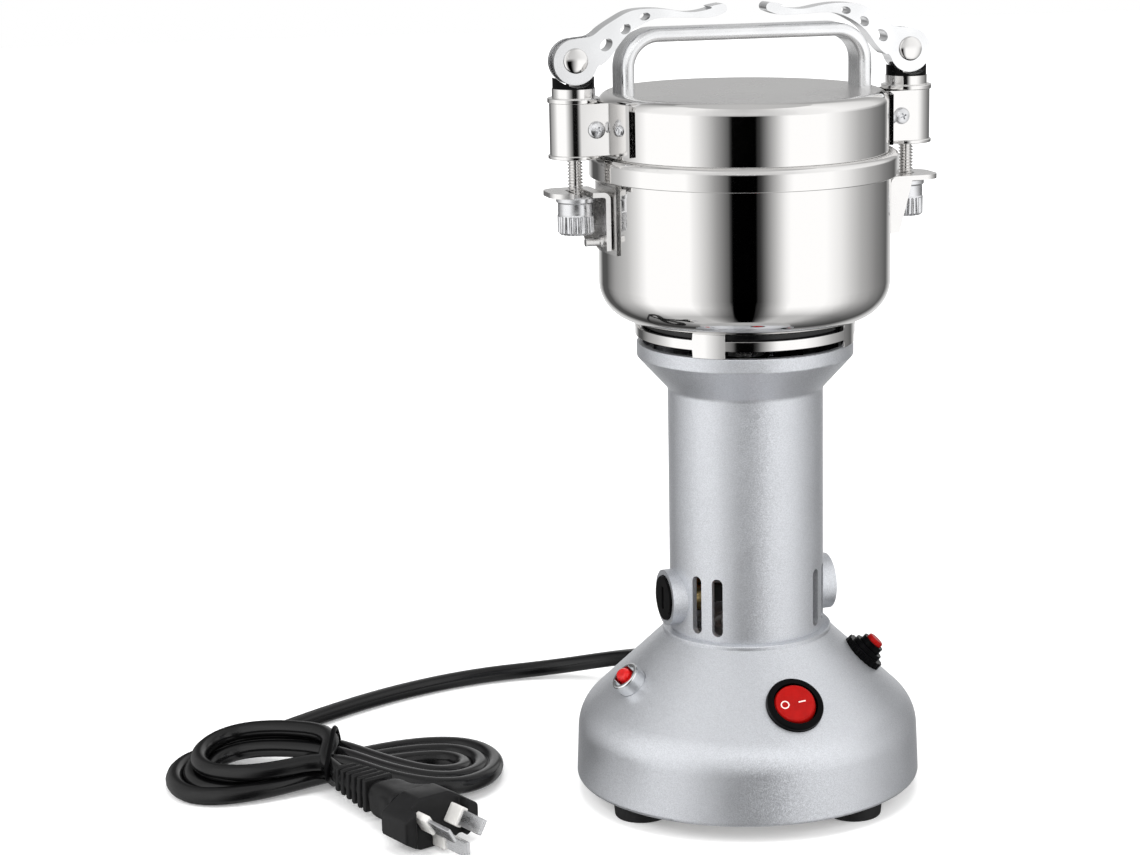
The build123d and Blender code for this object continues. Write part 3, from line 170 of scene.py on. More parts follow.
def opened(piece):
    """Opens a piece in edit mode with all of it selected."""
    take(piece)
    bpy.ops.object.mode_set(mode="EDIT")
    bpy.ops.mesh.select_all(action="SELECT")


def cleaned(piece, gap=1e-6):
    """Merges vertices nearer than a gap in metres, and turns all faces outward."""
    opened(piece)
    bpy.ops.mesh.remove_doubles(threshold=gap)
    bpy.ops.mesh.normals_make_consistent(inside=False)
    bpy.ops.object.mode_set(mode="OBJECT")
    return piece


def smooth(piece, angle=35):
    take(piece)
    bpy.ops.object.shade_smooth_by_angle(angle=radians(angle))
    return piece


def modified(piece, kind, **settings):
    """Adds a modifier to a piece and applies it."""
    take(piece)
    modifier = piece.modifiers.new(kind.lower(), kind)
    for setting, value in settings.items():
        setattr(modifier, setting, value)
    bpy.ops.object.modifier_apply(modifier=modifier.name)
    return piece


def beveled(piece, width, segments=2, angle=35):
    return modified(piece, "BEVEL", width=width, segments=segments, limit_method="ANGLE",
                    angle_limit=radians(angle), miter_outer="MITER_ARC")


def rounded(corners, steps=6):
    """Outline from (radius, height, round) corners, with an arc in place of each round corner."""
    outline = []
    last = len(corners) - 1
    for index, corner in enumerate(corners):
        here = Vector(corner[:2])
        fillet = corner[2] if len(corner) > 2 else 0
        if not fillet or index in (0, last):
            outline.append(tuple(here))
            continue
        back = (Vector(corners[index - 1][:2]) - here).normalized()
        ahead = (Vector(corners[index + 1][:2]) - here).normalized()
        half = acos(max(-1, min(1, back.dot(ahead)))) / 2
        center = here + (back + ahead).normalized() * (fillet / sin(half))
        first = here + back * (fillet / tan(half)) - center
        final = here + ahead * (fillet / tan(half)) - center
        sweep = first.angle_signed(final)
        for step in range(steps + 1):
            arm = first.copy()
            arm.rotate(Matrix.Rotation(-sweep * step / steps, 2))
            outline.append(tuple(center + arm))
    return outline


def raised(height, growth, center):
    """Extrudes the selected ring upward in mm, and scales it about a center."""
    bpy.ops.mesh.extrude_region_move(TRANSFORM_OT_translate={"value": (0, 0, height * MM)})
    bpy.ops.transform.resize(value=(*growth, 1), center_override=center)


def turned(name, outline, sides=96, closed=False):
    """Round piece about Z: a ring of vertices extruded from point to point of an outline in mm."""
    clear_selection()
    radius, height = outline[0]
    bpy.ops.mesh.primitive_circle_add(vertices=sides, radius=radius * MM, location=(0, 0, height * MM))
    piece = named(name)
    opened(piece)
    if not closed:
        bpy.ops.mesh.edge_face_add()
    for before, after in zip(outline, outline[1:] + outline[:1] * closed):
        growth = after[0] / before[0]
        raised(after[1] - before[1], (growth, growth), (0, 0, 0))
    return cleaned(piece)


def placed(piece, matrix):
    """Moves a piece's mesh, and leaves its object at the origin."""
    piece.data.transform(matrix)
    return piece


def linked(name, data):
    """New object in the scene, with this mesh or curve."""
    piece = bpy.data.objects.new(name, data)
    data.name = name
    bpy.context.scene.collection.objects.link(piece)
    return piece


def copied(piece, name, matrix):
    """Copy of a piece with its own mesh, moved by a matrix."""
    return placed(linked(name, piece.data.copy()), matrix)


def joined(name, pieces):
    clear_selection()
    for piece in pieces:
        piece.select_set(True)
    bpy.context.view_layer.objects.active = pieces[0]
    bpy.ops.object.join()
    pieces[0].name = pieces[0].data.name = name
    return pieces[0]


def shift(x, y, z):
    return Matrix.Translation((x * MM, y * MM, z * MM))


def sized(x, y, z):
    """Matrix that makes a piece of unit size this large in mm."""
    return Matrix.Diagonal((x * MM, y * MM, z * MM, 1))


def box(name, size, place=Matrix()):
    """Box about the origin of a place, with its size in mm."""
    clear_selection()
    bpy.ops.mesh.primitive_cube_add(size=1)
    return placed(named(name), place @ sized(*size))


def axes(origin, x_axis, z_axis):
    """Matrix from a piece's own axes to a place, from an origin in mm and two directions."""
    z_axis = Vector(z_axis).normalized()
    y_axis = z_axis.cross(Vector(x_axis)).normalized()
    x_axis = y_axis.cross(z_axis)
    matrix = Matrix((x_axis, y_axis, z_axis)).transposed().to_4x4()
    matrix.translation = Vector(origin) * MM
    return matrix


def around(radius, angle, height=0.0):
    """Point at a radius and an angle from the front."""
    return Vector((radius * sin(radians(angle)), -radius * cos(radians(angle)), height))


def cone_axes(angle, height, out=0.0):
    """Axes on the base's cone: x to the right, y up the slope, z outward."""
    lean = atan2(1, CONE_SLOPE)
    outward = around(sin(lean), angle, cos(lean))
    right = (cos(radians(angle)), sin(radians(angle)), 0)
    radius = NECK_RADIUS + CONE_SLOPE * (NECK_Z - height)
    return axes(around(radius, angle, height) + outward * out, right, outward)


def eased(node, finish, width=0.3, segments=2, angle=35, flat=0.6):
    """Copy of a CAD node with its edges rounded, which stands for the node."""
    piece = take(linked(node + "_eased", frame["nodes"][node].data.copy()))
    bpy.ops.mesh.customdata_custom_splitnormals_clear()
    opened(piece)
    bpy.ops.mesh.remove_doubles(threshold=2e-6)
    bpy.ops.mesh.dissolve_limited(angle_limit=radians(flat))
    bpy.ops.object.mode_set(mode="OBJECT")
    beveled(piece, width * MM, segments, angle)
    smooth(piece, angle)
    modified(piece, "WEIGHTED_NORMAL", keep_sharp=True, weight=100)
    return stands_for(piece, finish, node)


def stands_for(piece, finish, *nodes):
    """Gives a piece its finish and the body of the nodes that it stands for, and hides those nodes."""
    wear(piece, finish)
    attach(piece, NODE_BODY[nodes[0]])
    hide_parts(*nodes)
    return piece


def fitted(piece, finish, body):
    """Gives an added piece its finish and body."""
    wear(piece, finish)
    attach(piece, body)
    return piece


def wear(piece, finish):
    piece.data.materials.clear()
    piece.data.materials.append(finishes[finish])
    return piece


# ================================================================ helpers for materials
def surface(name, colour, metallic, roughness, **sockets):
    """New material whose shader has these values, and which is kept by name."""
    material = bpy.data.materials.new(name)
    material.use_nodes = True
    shader = material.node_tree.nodes["Principled BSDF"]
    shader.inputs["Base Color"].default_value = (*colour, 1)
    shader.inputs["Metallic"].default_value = metallic
    shader.inputs["Roughness"].default_value = roughness
    for socket, value in sockets.items():
        shader.inputs[socket.replace("_", " ")].default_value = value
    finishes[name] = material
    return material


def node(material, kind, settings=None, **inputs):
    """Adds a node. Inputs are values or the sockets that feed them."""
    made = material.node_tree.nodes.new("ShaderNode" + kind)
    for setting, value in (settings or {}).items():
        setattr(made, setting, value)
    for name, value in inputs.items():
        socket = made.inputs[int(name[1:])] if name[0] == "i" and name[1:].isdigit() else \
            made.inputs[name.replace("_", " ")]
        if isinstance(value, bpy.types.NodeSocket):
            material.node_tree.links.new(value, socket)
        else:
            socket.default_value = value
    return made


def feed(material, socket, source):
    """Feeds one of the shader's sockets."""
    material.node_tree.links.new(source, material.node_tree.nodes["Principled BSDF"].inputs[socket])


def places(material, stretch=(1, 1, 1)):
    """Places on the piece, stretched along its axes."""
    where = node(material, "TexCoord").outputs["Object"]
    return node(material, "Mapping", {"vector_type": "POINT"}, Vector=where, Scale=stretch).outputs[0]


def spread(material, source, low, high, start=0.0, end=1.0):
    """Value spread from start..end to low..high."""
    return node(material, "MapRange", Value=source, From_Min=start, From_Max=end, To_Min=low,
                To_Max=high).outputs[0]


def noise(material, size, stretch=(1, 1, 1), detail=3.0, roughness=0.5, distortion=0.0):
    """Noise whose features are about a size in metres."""
    return node(material, "TexNoise", Vector=places(material, stretch), Scale=1 / size, Detail=detail,
                Roughness=roughness, Distortion=distortion).outputs["Fac"]


def mixed(material, factor, low, high):
    """Number between two others."""
    return node(material, "Mix", {"data_type": "FLOAT"}, i0=factor, i2=low, i3=high).outputs[0]


def shaded(material, source, dark, light, start=0.0, end=1.0):
    """Colours the shader between two colours, by a value."""
    mix = node(material, "Mix", {"data_type": "RGBA"}, i0=spread(material, source, 0, 1, start, end),
               i6=(*dark, 1), i7=(*light, 1))
    feed(material, "Base Color", mix.outputs[2])


def math(material, operation, *values):
    """Result of an operation on numbers."""
    inputs = {f"i{index}": value for index, value in enumerate(values)}
    return node(material, "Math", {"operation": operation}, **inputs).outputs[0]


def vector(material, operation, *values, **inputs):
    """Results of an operation on vectors."""
    inputs.update({f"i{index}": value for index, value in enumerate(values)})
    return node(material, "VectorMath", {"operation": operation}, **inputs).outputs


def relief(material, source, depth, strength=1.0):
    """Bump of a depth in metres."""
    bump = node(material, "Bump", Height=source, Distance=depth, Strength=strength)
    feed(material, "Normal", bump.outputs[0])


def tinted(colour, factor):
    return tuple(min(1.0, channel * factor) for channel in colour)


# ================================================================ finishes
def silver_paint(colours, sizes):
    """Silver paint with fine metal flakes, each with its own tone and slope."""
    paint = surface("silver_paint", colours.paint, 0.82, 0.40, Specular_IOR_Level=0.4, Coat_Weight=0.08,
                    Coat_Roughness=0.25)
    flakes = node(paint, "TexVoronoi", Vector=places(paint), Scale=1 / sizes.flake_size)
    tone = node(paint, "SeparateColor", Color=flakes.outputs["Color"]).outputs[0]
    shaded(paint, tone, tinted(colours.paint, 0.90), tinted(colours.paint, 1.14), 0.15, 1.0)
    slope = vector(paint, "SUBTRACT", flakes.outputs["Color"], (0.5, 0.5, 0.5))[0]
    slope = vector(paint, "SCALE", slope, Scale=0.16)[0]
    normal = node(paint, "NewGeometry").outputs["Normal"]
    normal = vector(paint, "NORMALIZE", vector(paint, "ADD", normal, slope)[0])[0]
    peel = node(paint, "Bump", Height=noise(paint, 0.0011), Distance=0.00002, Normal=normal)
    feed(paint, "Normal", peel.outputs[0])
    feed(paint, "Roughness", spread(paint, noise(paint, 0.02), 0.36, 0.44, 0.3, 0.7))


def steels(colours):
    """Mirror, satin, brushed and plain steels."""
    for name, roughness, swing, depth in (
            ("mirror_steel", 0.05, 0.015, 0.000001), ("polished_strap", 0.075, 0.025, 0.000003),
            ("satin_steel", 0.26, 0.08, 0.000010), ("bare_steel", 0.38, 0.10, 0.000012)):
        steel = surface(name, colours.steel, 1.0, roughness)
        smears = noise(steel, 0.03, detail=6, roughness=0.6, distortion=0.4)
        feed(steel, "Roughness", spread(steel, smears, roughness - swing, roughness + swing, 0.3, 0.7))
        scratches = noise(steel, 0.0012, (1, 1, 14), detail=4)
        relief(steel, scratches, depth, 0.5)

    # The lid's top and the bowl's floor are turned, so that fine rings run round the axis.
    lid = surface("turned_steel", colours.steel, 1.0, 0.05)
    level = node(lid, "SeparateXYZ", Vector=node(lid, "NewGeometry").outputs["Normal"]).outputs["Z"]
    flat = spread(lid, math(lid, "ABSOLUTE", level), 0, 1, 0.90, 0.995)
    place = node(lid, "SeparateXYZ", Vector=places(lid))
    across = node(lid, "CombineXYZ", X=place.outputs["X"], Y=place.outputs["Y"])
    radius = vector(lid, "LENGTH", across.outputs[0])["Value"]
    rings = node(lid, "TexNoise", {"noise_dimensions": "1D"}, W=radius, Scale=2600.0, Detail=4.0)
    rough = spread(lid, noise(lid, 0.05, detail=4), 0.22, 0.30, 0.3, 0.7)
    smear = spread(lid, noise(lid, 0.03, detail=6, roughness=0.6), 0.035, 0.065, 0.3, 0.7)
    feed(lid, "Roughness", mixed(lid, flat, smear, rough))
    relief(lid, math(lid, "MULTIPLY", rings.outputs["Fac"], flat), 0.000012)
    # Painted shade: the flat faces get a darker steel colour than the walls, though the steel is the
    # same.
    shaded(lid, flat, colours.steel, tinted(colours.steel, 0.86))


def light_metals(colours):
    """Aluminium of the levers and the handle, zinc plate, chrome, copper and brass."""
    for name, colour, roughness, swing, grain, depth in (
            ("polished_aluminium", colours.aluminium, 0.20, 0.06, (1, 1, 1), 0.000012),
            ("satin_aluminium", colours.aluminium, 0.28, 0.05, (1, 9, 1), 0.000006),
            ("cast_aluminium", tinted(colours.aluminium, 0.8), 0.42, 0.08, (1, 1, 1), 0.00003),
            ("zinc_plate", colours.zinc, 0.27, 0.09, (1, 1, 3), 0.000020),
            ("chrome", (0.84, 0.85, 0.86), 0.07, 0.03, (1, 1, 1), 0.000003),
            ("copper_wire", (0.72, 0.29, 0.14), 0.34, 0.08, (1, 1, 6), 0.00005),
            ("brass", (0.78, 0.58, 0.27), 0.28, 0.08, (1, 1, 1), 0.00001),
            ("laminations", (0.46, 0.46, 0.47), 0.42, 0.08, (1, 1, 20), 0.00003)):
        metal = surface(name, colour, 1.0, roughness)
        mottle = noise(metal, 0.006, grain, detail=5, roughness=0.6)
        feed(metal, "Roughness", spread(metal, mottle, roughness - swing, roughness + swing, 0.3, 0.7))
        shaded(metal, noise(metal, 0.012, grain), tinted(colour, 0.92), tinted(colour, 1.06), 0.3, 0.7)
        relief(metal, noise(metal, 0.0007, grain, detail=4), depth, 0.6)


def plastics(colours):
    """Black, red and clear plastics, rubbers and carbon."""
    for name, colour, roughness, swing, size, depth, gloss, coat in (
            ("black_plastic", colours.black, 0.30, 0.06, 0.0006, 0.000012, 0.05, 0.0),
            ("black_gloss", tinted(colours.black, 2.5), 0.16, 0.05, 0.004, 0.000010, 0.25, 0.3),
            ("cord_jacket", (0.0035, 0.0035, 0.0037), 0.19, 0.04, 0.003, 0.000020, 0.40, 0.0),
            ("plug_plastic", (0.007, 0.007, 0.0073), 0.42, 0.07, 0.0005, 0.000018, 0.22, 0.0),
            ("foot_rubber", (0.009, 0.009, 0.0095), 0.55, 0.08, 0.0009, 0.000040, 0.25, 0.0),
            ("red_plastic", colours.red, 0.30, 0.05, 0.0008, 0.000006, 0.10, 0.03),
            ("red_lens", colours.lens, 0.10, 0.04, 0.002, 0.000020, 0.25, 0.6),
            ("mark_white", (0.86, 0.66, 0.62), 0.45, 0.05, 0.0006, 0.000004, 0.25, 0.0),
            ("carbon", (0.03, 0.03, 0.032), 0.55, 0.1, 0.0004, 0.00003, 0.25, 0.0),
            ("clear_silicone", (0.62, 0.61, 0.59), 0.38, 0.06, 0.002, 0.00002, 0.25, 0.1)):
        plastic = surface(name, colour, 0.0, roughness, Coat_Weight=coat, Coat_Roughness=0.12,
                          Specular_IOR_Level=gloss)
        feed(plastic, "Roughness", spread(plastic, noise(plastic, 0.01, detail=4), roughness - swing,
                                          roughness + swing, 0.3, 0.7))
        shaded(plastic, noise(plastic, 0.004), tinted(colour, 0.90), tinted(colour, 1.10), 0.3, 0.7)
        relief(plastic, noise(plastic, size, detail=3), depth)
    lens = finishes["red_lens"].node_tree.nodes["Principled BSDF"]
    lens.inputs["Subsurface Weight"].default_value = 0.15
    lens.inputs["Subsurface Radius"].default_value = (0.004, 0.0006, 0.0006)


class MILL_OT_finishes(bpy.types.Operator):
    """Makes the mill's materials and gives the CAD nodes theirs"""
    bl_idname = "mill.finishes"
    bl_label = "Finishes"

    def execute(self, context):
        colours, sizes = context.scene.mill_colours, context.scene.mill_sizes
        silver_paint(colours, sizes)
        steels(colours)
        light_metals(colours)
        plastics(colours)
        for finish, nodes in NODE_FINISHES.items():
            for name in nodes:
                wear(frame["nodes"][name], finish)
        bare = [name for name, made in frame["nodes"].items()
                if not made.data.materials or made.data.materials[0] not in finishes.values()]
        if bare:
            raise RuntimeError("no finish for " + ", ".join(bare))
        return {"FINISHED"}


NODE_FINISHES = {
    "silver_paint": ("base_housing", "motor_housing"),
    "turned_steel": ("bowl", "lid_shell"),
    "polished_strap": ("clamp_straps", "bolt_sleeves", "vent_ring"),
    "satin_steel": ("hook_brackets", "base_plate", "blade_lower", "blade_middle", "blade_upper",
                    "blade_spacers", "blade_nut", "bracket_rivets", "bearings", "shaft"),
    "bare_steel": ("bolt_left", "bolt_right", "brush_springs"),
    "satin_aluminium": ("handle",),
    "polished_aluminium": ("lever_left", "lever_right"),
    "cast_aluminium": ("lower_bracket", "bowl_hub"),
    "zinc_plate": ("nut_left", "nut_right", "base_screws", "handle_screws", "mount_screws",
                   "strap_fasteners", "plug_pins"),
    "chrome": ("lever_pin_left", "lever_pin_right", "lamp_bezel"),
    "laminations": ("stator_core", "armature_core"),
    "copper_wire": ("field_coils", "armature_windings", "commutator"),
    "brass": ("brush_holders",),
    "carbon": ("carbon_brushes",),
    "black_plastic": ("brush_caps", "switch_body", "reset_body", "reset_nut", "fan", "saddle_cups",
                      "cord_tie"),
    "black_gloss": ("insulator",),
    "plug_plastic": ("plug", "cord_gland"),
    "cord_jacket": ("cord_lead", "cord_hank"),
    "foot_rubber": ("rubber_feet", "shaft_seal"),
    "red_plastic": ("rocker", "reset_button"),
    "red_lens": ("lamp_lens",),
    "clear_silicone": ("lid_gasket",),
}


# ================================================================ camera
class MILL_OT_camera(bpy.types.Operator):
    """Places the camera in front of the mill, a little to its left and above it"""
    bl_idname = "mill.camera"
    bl_label = "Camera"

    def execute(self, context):
        azimuth, elevation, roll = radians(VIEW_ANGLE), radians(12.65), radians(-0.35)
        back = Vector((sin(azimuth) * cos(elevation), -cos(azimuth) * cos(elevation), sin(elevation)))
        right = Vector((cos(azimuth), sin(azimuth), 0))
        up = back.cross(right)
        sideways = right * cos(roll) + up * sin(roll)
        upright = up * cos(roll) - right * sin(roll)
        clear_selection()
        bpy.ops.object.camera_add()
        camera = context.object
        camera.name = "camera"
        place = Matrix((sideways, upright, back)).transposed().to_4x4()
        place.translation = Vector((0, 0, 0.1499)) + back * 1.0779
        camera.matrix_world = place
        camera.data.sensor_width = 36.0
        camera.data.lens = 85.14
        camera.data.shift_x = -0.154
        context.scene.camera = camera
        return {"FINISHED"}


# ================================================================ mains cord
def hank_point(along, across, height):
    """Point of the hank in metres, from its own axes in mm."""
    heading = radians(HANK_TURN)
    return Vector((HANK_CENTER[0] + along * cos(heading) - across * sin(heading),
                   HANK_CENTER[1] + along * sin(heading) + across * cos(heading), height)) * MM


def hank_route():
    """Turns of the hank: figure-eight loops that lie side by side, and cross under the tie."""
    # Each loop has the side it lies on, its reach and half width, and where it enters and leaves the
    # waist: across and height.
    floor, upper, top = 3.7, 11.0, 18.0
    lift = 2.2
    loops = (
        (-1, 68, 30, None, (-7.4, floor)), (1, 54, 17.6, (-7.4, floor), (3.7, upper)),
        (-1, 61, 24, (3.7, upper), (0, floor)), (1, 61, 24, (0, floor), (-3.7, upper)),
        (-1, 54, 17.6, (-3.7, upper), (7.4, floor)), (1, 67, 30, (7.4, floor), (-10.5, upper)))
    points = [hank_point(-47.3, 29.6, floor)]
    steps = 7
    for side, reach, width, entry, leave in loops:
        first = 0 if entry else 2.6
        for step in range(steps + 1):
            turn = pi * step / steps
            if step < first or (entry and step == 0):
                continue
            share = turn / pi
            across_in, height_in = entry or (width, floor)
            across_out, height_out = leave
            bias = across_in * max(0, cos(turn)) ** 3 + across_out * max(0, -cos(turn)) ** 3
            settle = min(1, 1.7 * share) if height_in > height_out else max(0, 1.7 * share - 0.7)
            height = height_in + (height_out - height_in) * settle
            height += lift * abs(cos(turn)) ** 8
            points.append(hank_point(side * reach * sin(turn), width * sin(2 * turn) + bias, height))
    # The last loop runs the other way round, on top of the others, and leaves for the plug.
    for step in range(1, steps + 1):
        turn = pi * step / steps
        across = -21.5 * sin(2 * turn) - 10.5 * max(0, cos(turn)) ** 3
        height = upper + (top - upper) * max(0, 2 * step / steps - 1)
        points.append(hank_point(-57.5 * sin(turn), across, height + lift * abs(cos(turn)) ** 8))
    start = Vector(PLUG_START)
    heading = radians(PLUG_TURN)
    course = Vector((cos(heading), sin(heading), 0))
    for back in (14.0, 7.0, 0.0):
        at = start - course * back
        points.append(hank_point(at.x, at.y, start.z + 0.16 * back))
    return points


def tube(name, points, radius, steps, sides, closed=False):
    """Round curve led by points in metres."""
    curve = bpy.data.curves.new(name, "CURVE")
    curve.dimensions = "3D"
    curve.bevel_depth = radius
    curve.bevel_resolution = sides
    curve.use_fill_caps = not closed
    spline = curve.splines.new("NURBS")
    spline.points.add(len(points) - 1)
    for point, place in zip(spline.points, points):
        point.co = (*place, 1)
    spline.use_cyclic_u = closed
    spline.use_endpoint_u = not closed
    spline.order_u = 3
    spline.resolution_u = steps
    return linked(name, curve)


class MILL_OT_cord(bpy.types.Operator):
    """Lays the mains cord: a lead from the gland, and the rest in a tied hank beside the mill"""
    bl_idname = "mill.cord"
    bl_label = "Mains cord"

    def execute(self, context):
        sizes = context.scene.mill_sizes
        route = [*CORD_ROUTE, *hank_route()]
        cord = wear(tube("mains_cord", route, sizes.cord_diameter / 2, 6, 5), "cord_jacket")
        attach(cord, "base")
        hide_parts("cord_lead", "cord_hank")
        self.tie(context, cord)
        return {"FINISHED"}

    def tie(self, context, cord):
        """Draws a round band tight round the strands at the hank's waist."""
        heading = radians(HANK_TURN)
        hank = axes((*HANK_CENTER, 0), (cos(heading), sin(heading), 0), (0, 0, 1))
        skin = cord.evaluated_get(context.evaluated_depsgraph_get()).to_mesh()
        spots = [hank.inverted() @ vertex.co for vertex in skin.vertices]
        spots = [spot.yz for spot in spots if abs(spot.x) < 2 * MM and abs(spot.y) < 24 * MM]
        rim = [spots[index] for index in convex_hull_2d(spots)]
        middle = sum(rim, Vector((0, 0))) / len(rim)
        rim = [spot + (spot - middle).normalized() * TIE_RADIUS for spot in rim]
        band = [hank @ Vector((0, *spot)) for spot in rim]
        take(tube("hank_tie", band, TIE_RADIUS, 4, 4, closed=True))
        bpy.ops.object.convert(target="MESH")
        tie = context.object
        tie.data.name = tie.name
        stands_for(smooth(tie, 60), "black_plastic", "cord_tie")


class MILL_OT_cord_fittings(bpy.types.Operator):
    """Models the strain relief, and the plug with its three flat pins"""
    bl_idname = "mill.cord_fittings"
    bl_label = "Cord fittings"

    def execute(self, context):
        outline = [(4.2, -9), (5.9, -9), (5.9, -0.05), (8.4, -0.05), (8.4, 2.6), (7.9, 3.1), (6.1, 3.1)]
        for rib in range(6):
            foot, radius = 4.0 + 3.6 * rib, 6.2 - 0.27 * rib
            outline += [(radius - 1.0, foot), (radius, foot + 0.35), (radius, foot + 2.0),
                        (radius - 1.0, foot + 2.35)]
        outline += [(4.5, 27.2), (4.1, 28.27), (3.62, 28.27), (3.62, 20)]
        gland = turned("cord_relief", outline, 48)
        smooth(placed(gland, axes((0, GLAND_SEAT, 20), (1, 0, 0), (0, 1, 0))), 30)
        stands_for(gland, "plug_plastic", "cord_gland")

        start = hank_point(*PLUG_START) / MM
        course_turn = radians(HANK_TURN + PLUG_TURN)
        course = Vector((cos(course_turn), sin(course_turn), 0))
        place = axes(start, Vector((0, 0, 1)).cross(course), course)
        stands_for(smooth(placed(self.plug(), place), 32), "plug_plastic", "plug")
        eased("plug_pins", "zinc_plate", 0.35, 3)

        sleeves = []
        for across, up, turn in PINS:
            spot = shift(across, up, PIN_ROOT - CHANNEL_DEPTH / 2 + 1.2)
            spot = place @ spot @ Matrix.Rotation(radians(turn), 4, "Z")
            sleeve = box("sleeve", (3.2, 7.9, CHANNEL_DEPTH + 3.4), spot)
            sleeves.append(beveled(sleeve, 0.6 * MM, 3))
        fitted(smooth(joined("pin_sleeves", sleeves), 30), "clear_silicone", "base")
        return {"FINISHED"}

    def plug(self):
        """Plug about Z: ribbed relief, neck, and a head that widens to the pins' face."""
        core = turned("plug_core", [(3.7, 0), (4.3, 0), (5.6, 31), (3.7, 31)], 40)
        parts = [core]
        for rib in range(6):
            width = 9.6 + 0.72 * rib
            plate = box(f"plug_rib_{rib}", (width, width + 0.6, 2.6), shift(0, 0, 3.2 + 4.7 * rib))
            parts.append(beveled(plate, 1.0 * MM, 3))
        stations = ((30.0, 14.0, 13.0), (34.5, 16.5, 14.2), (37.5, 16.5, 14.2), (42.0, 15.8, 14.6),
                    (47.5, 19.5, 16.5), (53.0, 25.0, 19.0), (56.5, 28.0, 20.0))
        clear_selection()
        bpy.ops.mesh.primitive_circle_add(vertices=32, radius=0.5, fill_type="NGON")
        body = named("plug_body")
        for vertex in body.data.vertices:
            angle = atan2(vertex.co.y, vertex.co.x)
            bulge = (abs(cos(angle)) ** 4 + abs(sin(angle)) ** 4) ** -0.25 / 2
            vertex.co.xy = (bulge * cos(angle), bulge * sin(angle))
        first, width, height = stations[0]
        opened(placed(body, shift(0, 0, first) @ sized(width, height, 1)))
        for before, after in zip(stations, stations[1:]):
            growth = (after[1] / before[1], after[2] / before[2])
            raised(after[0] - before[0], growth, (0, 0, after[0] * MM))
        bpy.ops.object.mode_set(mode="OBJECT")
        modified(body, "SUBSURF", levels=1, render_levels=1)
        parts.append(body)
        clear_selection()
        bpy.ops.mesh.primitive_cylinder_add(vertices=8, radius=0.5, depth=1)
        head = placed(named("plug_head"), Matrix.Rotation(pi / 8, 4, "Z"))
        placed(head, shift(0, 0, 64.2) @ sized(36.6, 22.8, 17.6))
        channel = box("plug_channel", (22.4, 40, 2 * CHANNEL_DEPTH), shift(0, 0, PIN_ROOT))
        modified(head, "BOOLEAN", object=channel, operation="DIFFERENCE", solver="EXACT")
        bpy.data.objects.remove(channel)
        parts.append(beveled(head, 1.1 * MM, 3, 20))
        return joined("mains_plug", parts)


# ================================================================ clamps
class MILL_OT_bolt_threads(bpy.types.Operator):
    """Cuts the thread that shows on the two clamp bolts"""
    bl_idname = "mill.bolt_threads"
    bl_label = "Bolt threads"

    def execute(self, context):
        sizes = context.scene.mill_sizes
        pitch, crest = sizes.thread_pitch, sizes.thread_radius
        root = crest - 0.55 * pitch
        foot = THREAD_FOOT * MM
        profile = ((root, 0), (root, 0.12), (crest, 0.46), (crest, 0.58), (root, 0.92), (root, 1.0))
        for name, side in SIDES:
            self.core(name, side, root, foot + THREAD_TURNS * pitch)
            mesh = bpy.data.meshes.new("thread")
            mesh.from_pydata([(radius, 0, foot + height * pitch) for radius, height in profile],
                             [(index, index + 1) for index in range(len(profile) - 1)], [])
            thread = linked(f"bolt_thread_{name}", mesh)
            modified(thread, "SCREW", angle=2 * pi, screw_offset=pitch, iterations=THREAD_TURNS,
                     steps=28, render_steps=28, use_merge_vertices=True, merge_threshold=1e-6,
                     use_smooth_shade=False)
            placed(cleaned(thread), shift(side * CLAMP_X, 0, 0))
            fitted(smooth(thread, 25), "polished_strap", f"bolt_{name}")
        return {"FINISHED"}

    def core(self, name, side, root, top):
        """Copy of the bolt, thinned below the top of its thread to the thread's root."""
        bolt = eased(f"bolt_{name}", "polished_strap", 0.2)
        take(bolt)
        bpy.ops.object.mode_set(mode="EDIT")
        for level in (top - 0.3 * MM, top):
            bpy.ops.mesh.select_all(action="SELECT")
            bpy.ops.mesh.bisect(plane_co=(0, 0, level), plane_no=(0, 0, 1))
        bpy.ops.object.mode_set(mode="OBJECT")
        axis = Vector((side * CLAMP_X * MM, 0))
        for vertex in bolt.data.vertices:
            arm = vertex.co.xy - axis
            if vertex.co.z < top - 0.2 * MM and arm.length > root:
                vertex.co.xy = axis + arm * (root - 0.02 * MM) / arm.length


class MILL_OT_thumb_nuts(bpy.types.Operator):
    """Models the two thumb nuts, fluted over their lower half"""
    bl_idname = "mill.thumb_nuts"
    bl_label = "Thumb nuts"

    def execute(self, context):
        flutes = context.scene.mill_sizes.nut_flutes
        outline = rounded((
            (2.86, 232.05), (6.2, 232.05), (7.1, 232.95, 0.5), (7.1, 239.0), (7.1, 239.35, 0.2),
            (6.85, 239.9, 0.2), (6.85, 243.9), (6.95, 244.2), (7.5, 244.7, 0.2), (7.5, 246.2, 0.3),
            (6.9, 246.8), (2.86, 246.8)), 3)
        nut = turned("nut_pattern", outline, flutes * 6, closed=True)
        for vertex in nut.data.vertices:
            radius, height = vertex.co.xy.length / MM, vertex.co.z / MM
            if radius > 6.6 and 232.3 < height < 239.2:
                place = (atan2(vertex.co.y, vertex.co.x) / (2 * pi) * flutes) % 1
                groove = max(0, cos(2 * pi * (place - 0.5))) ** 1.5
                vertex.co.xy *= 1 - FLUTE_DEPTH * groove
        smooth(cleaned(nut), 32)
        for name, side in SIDES:
            twin = copied(nut, f"thumb_nut_{name}", shift(side * CLAMP_X, 0, 0))
            stands_for(twin, "zinc_plate", f"nut_{name}")
        bpy.data.objects.remove(nut)
        return {"FINISHED"}


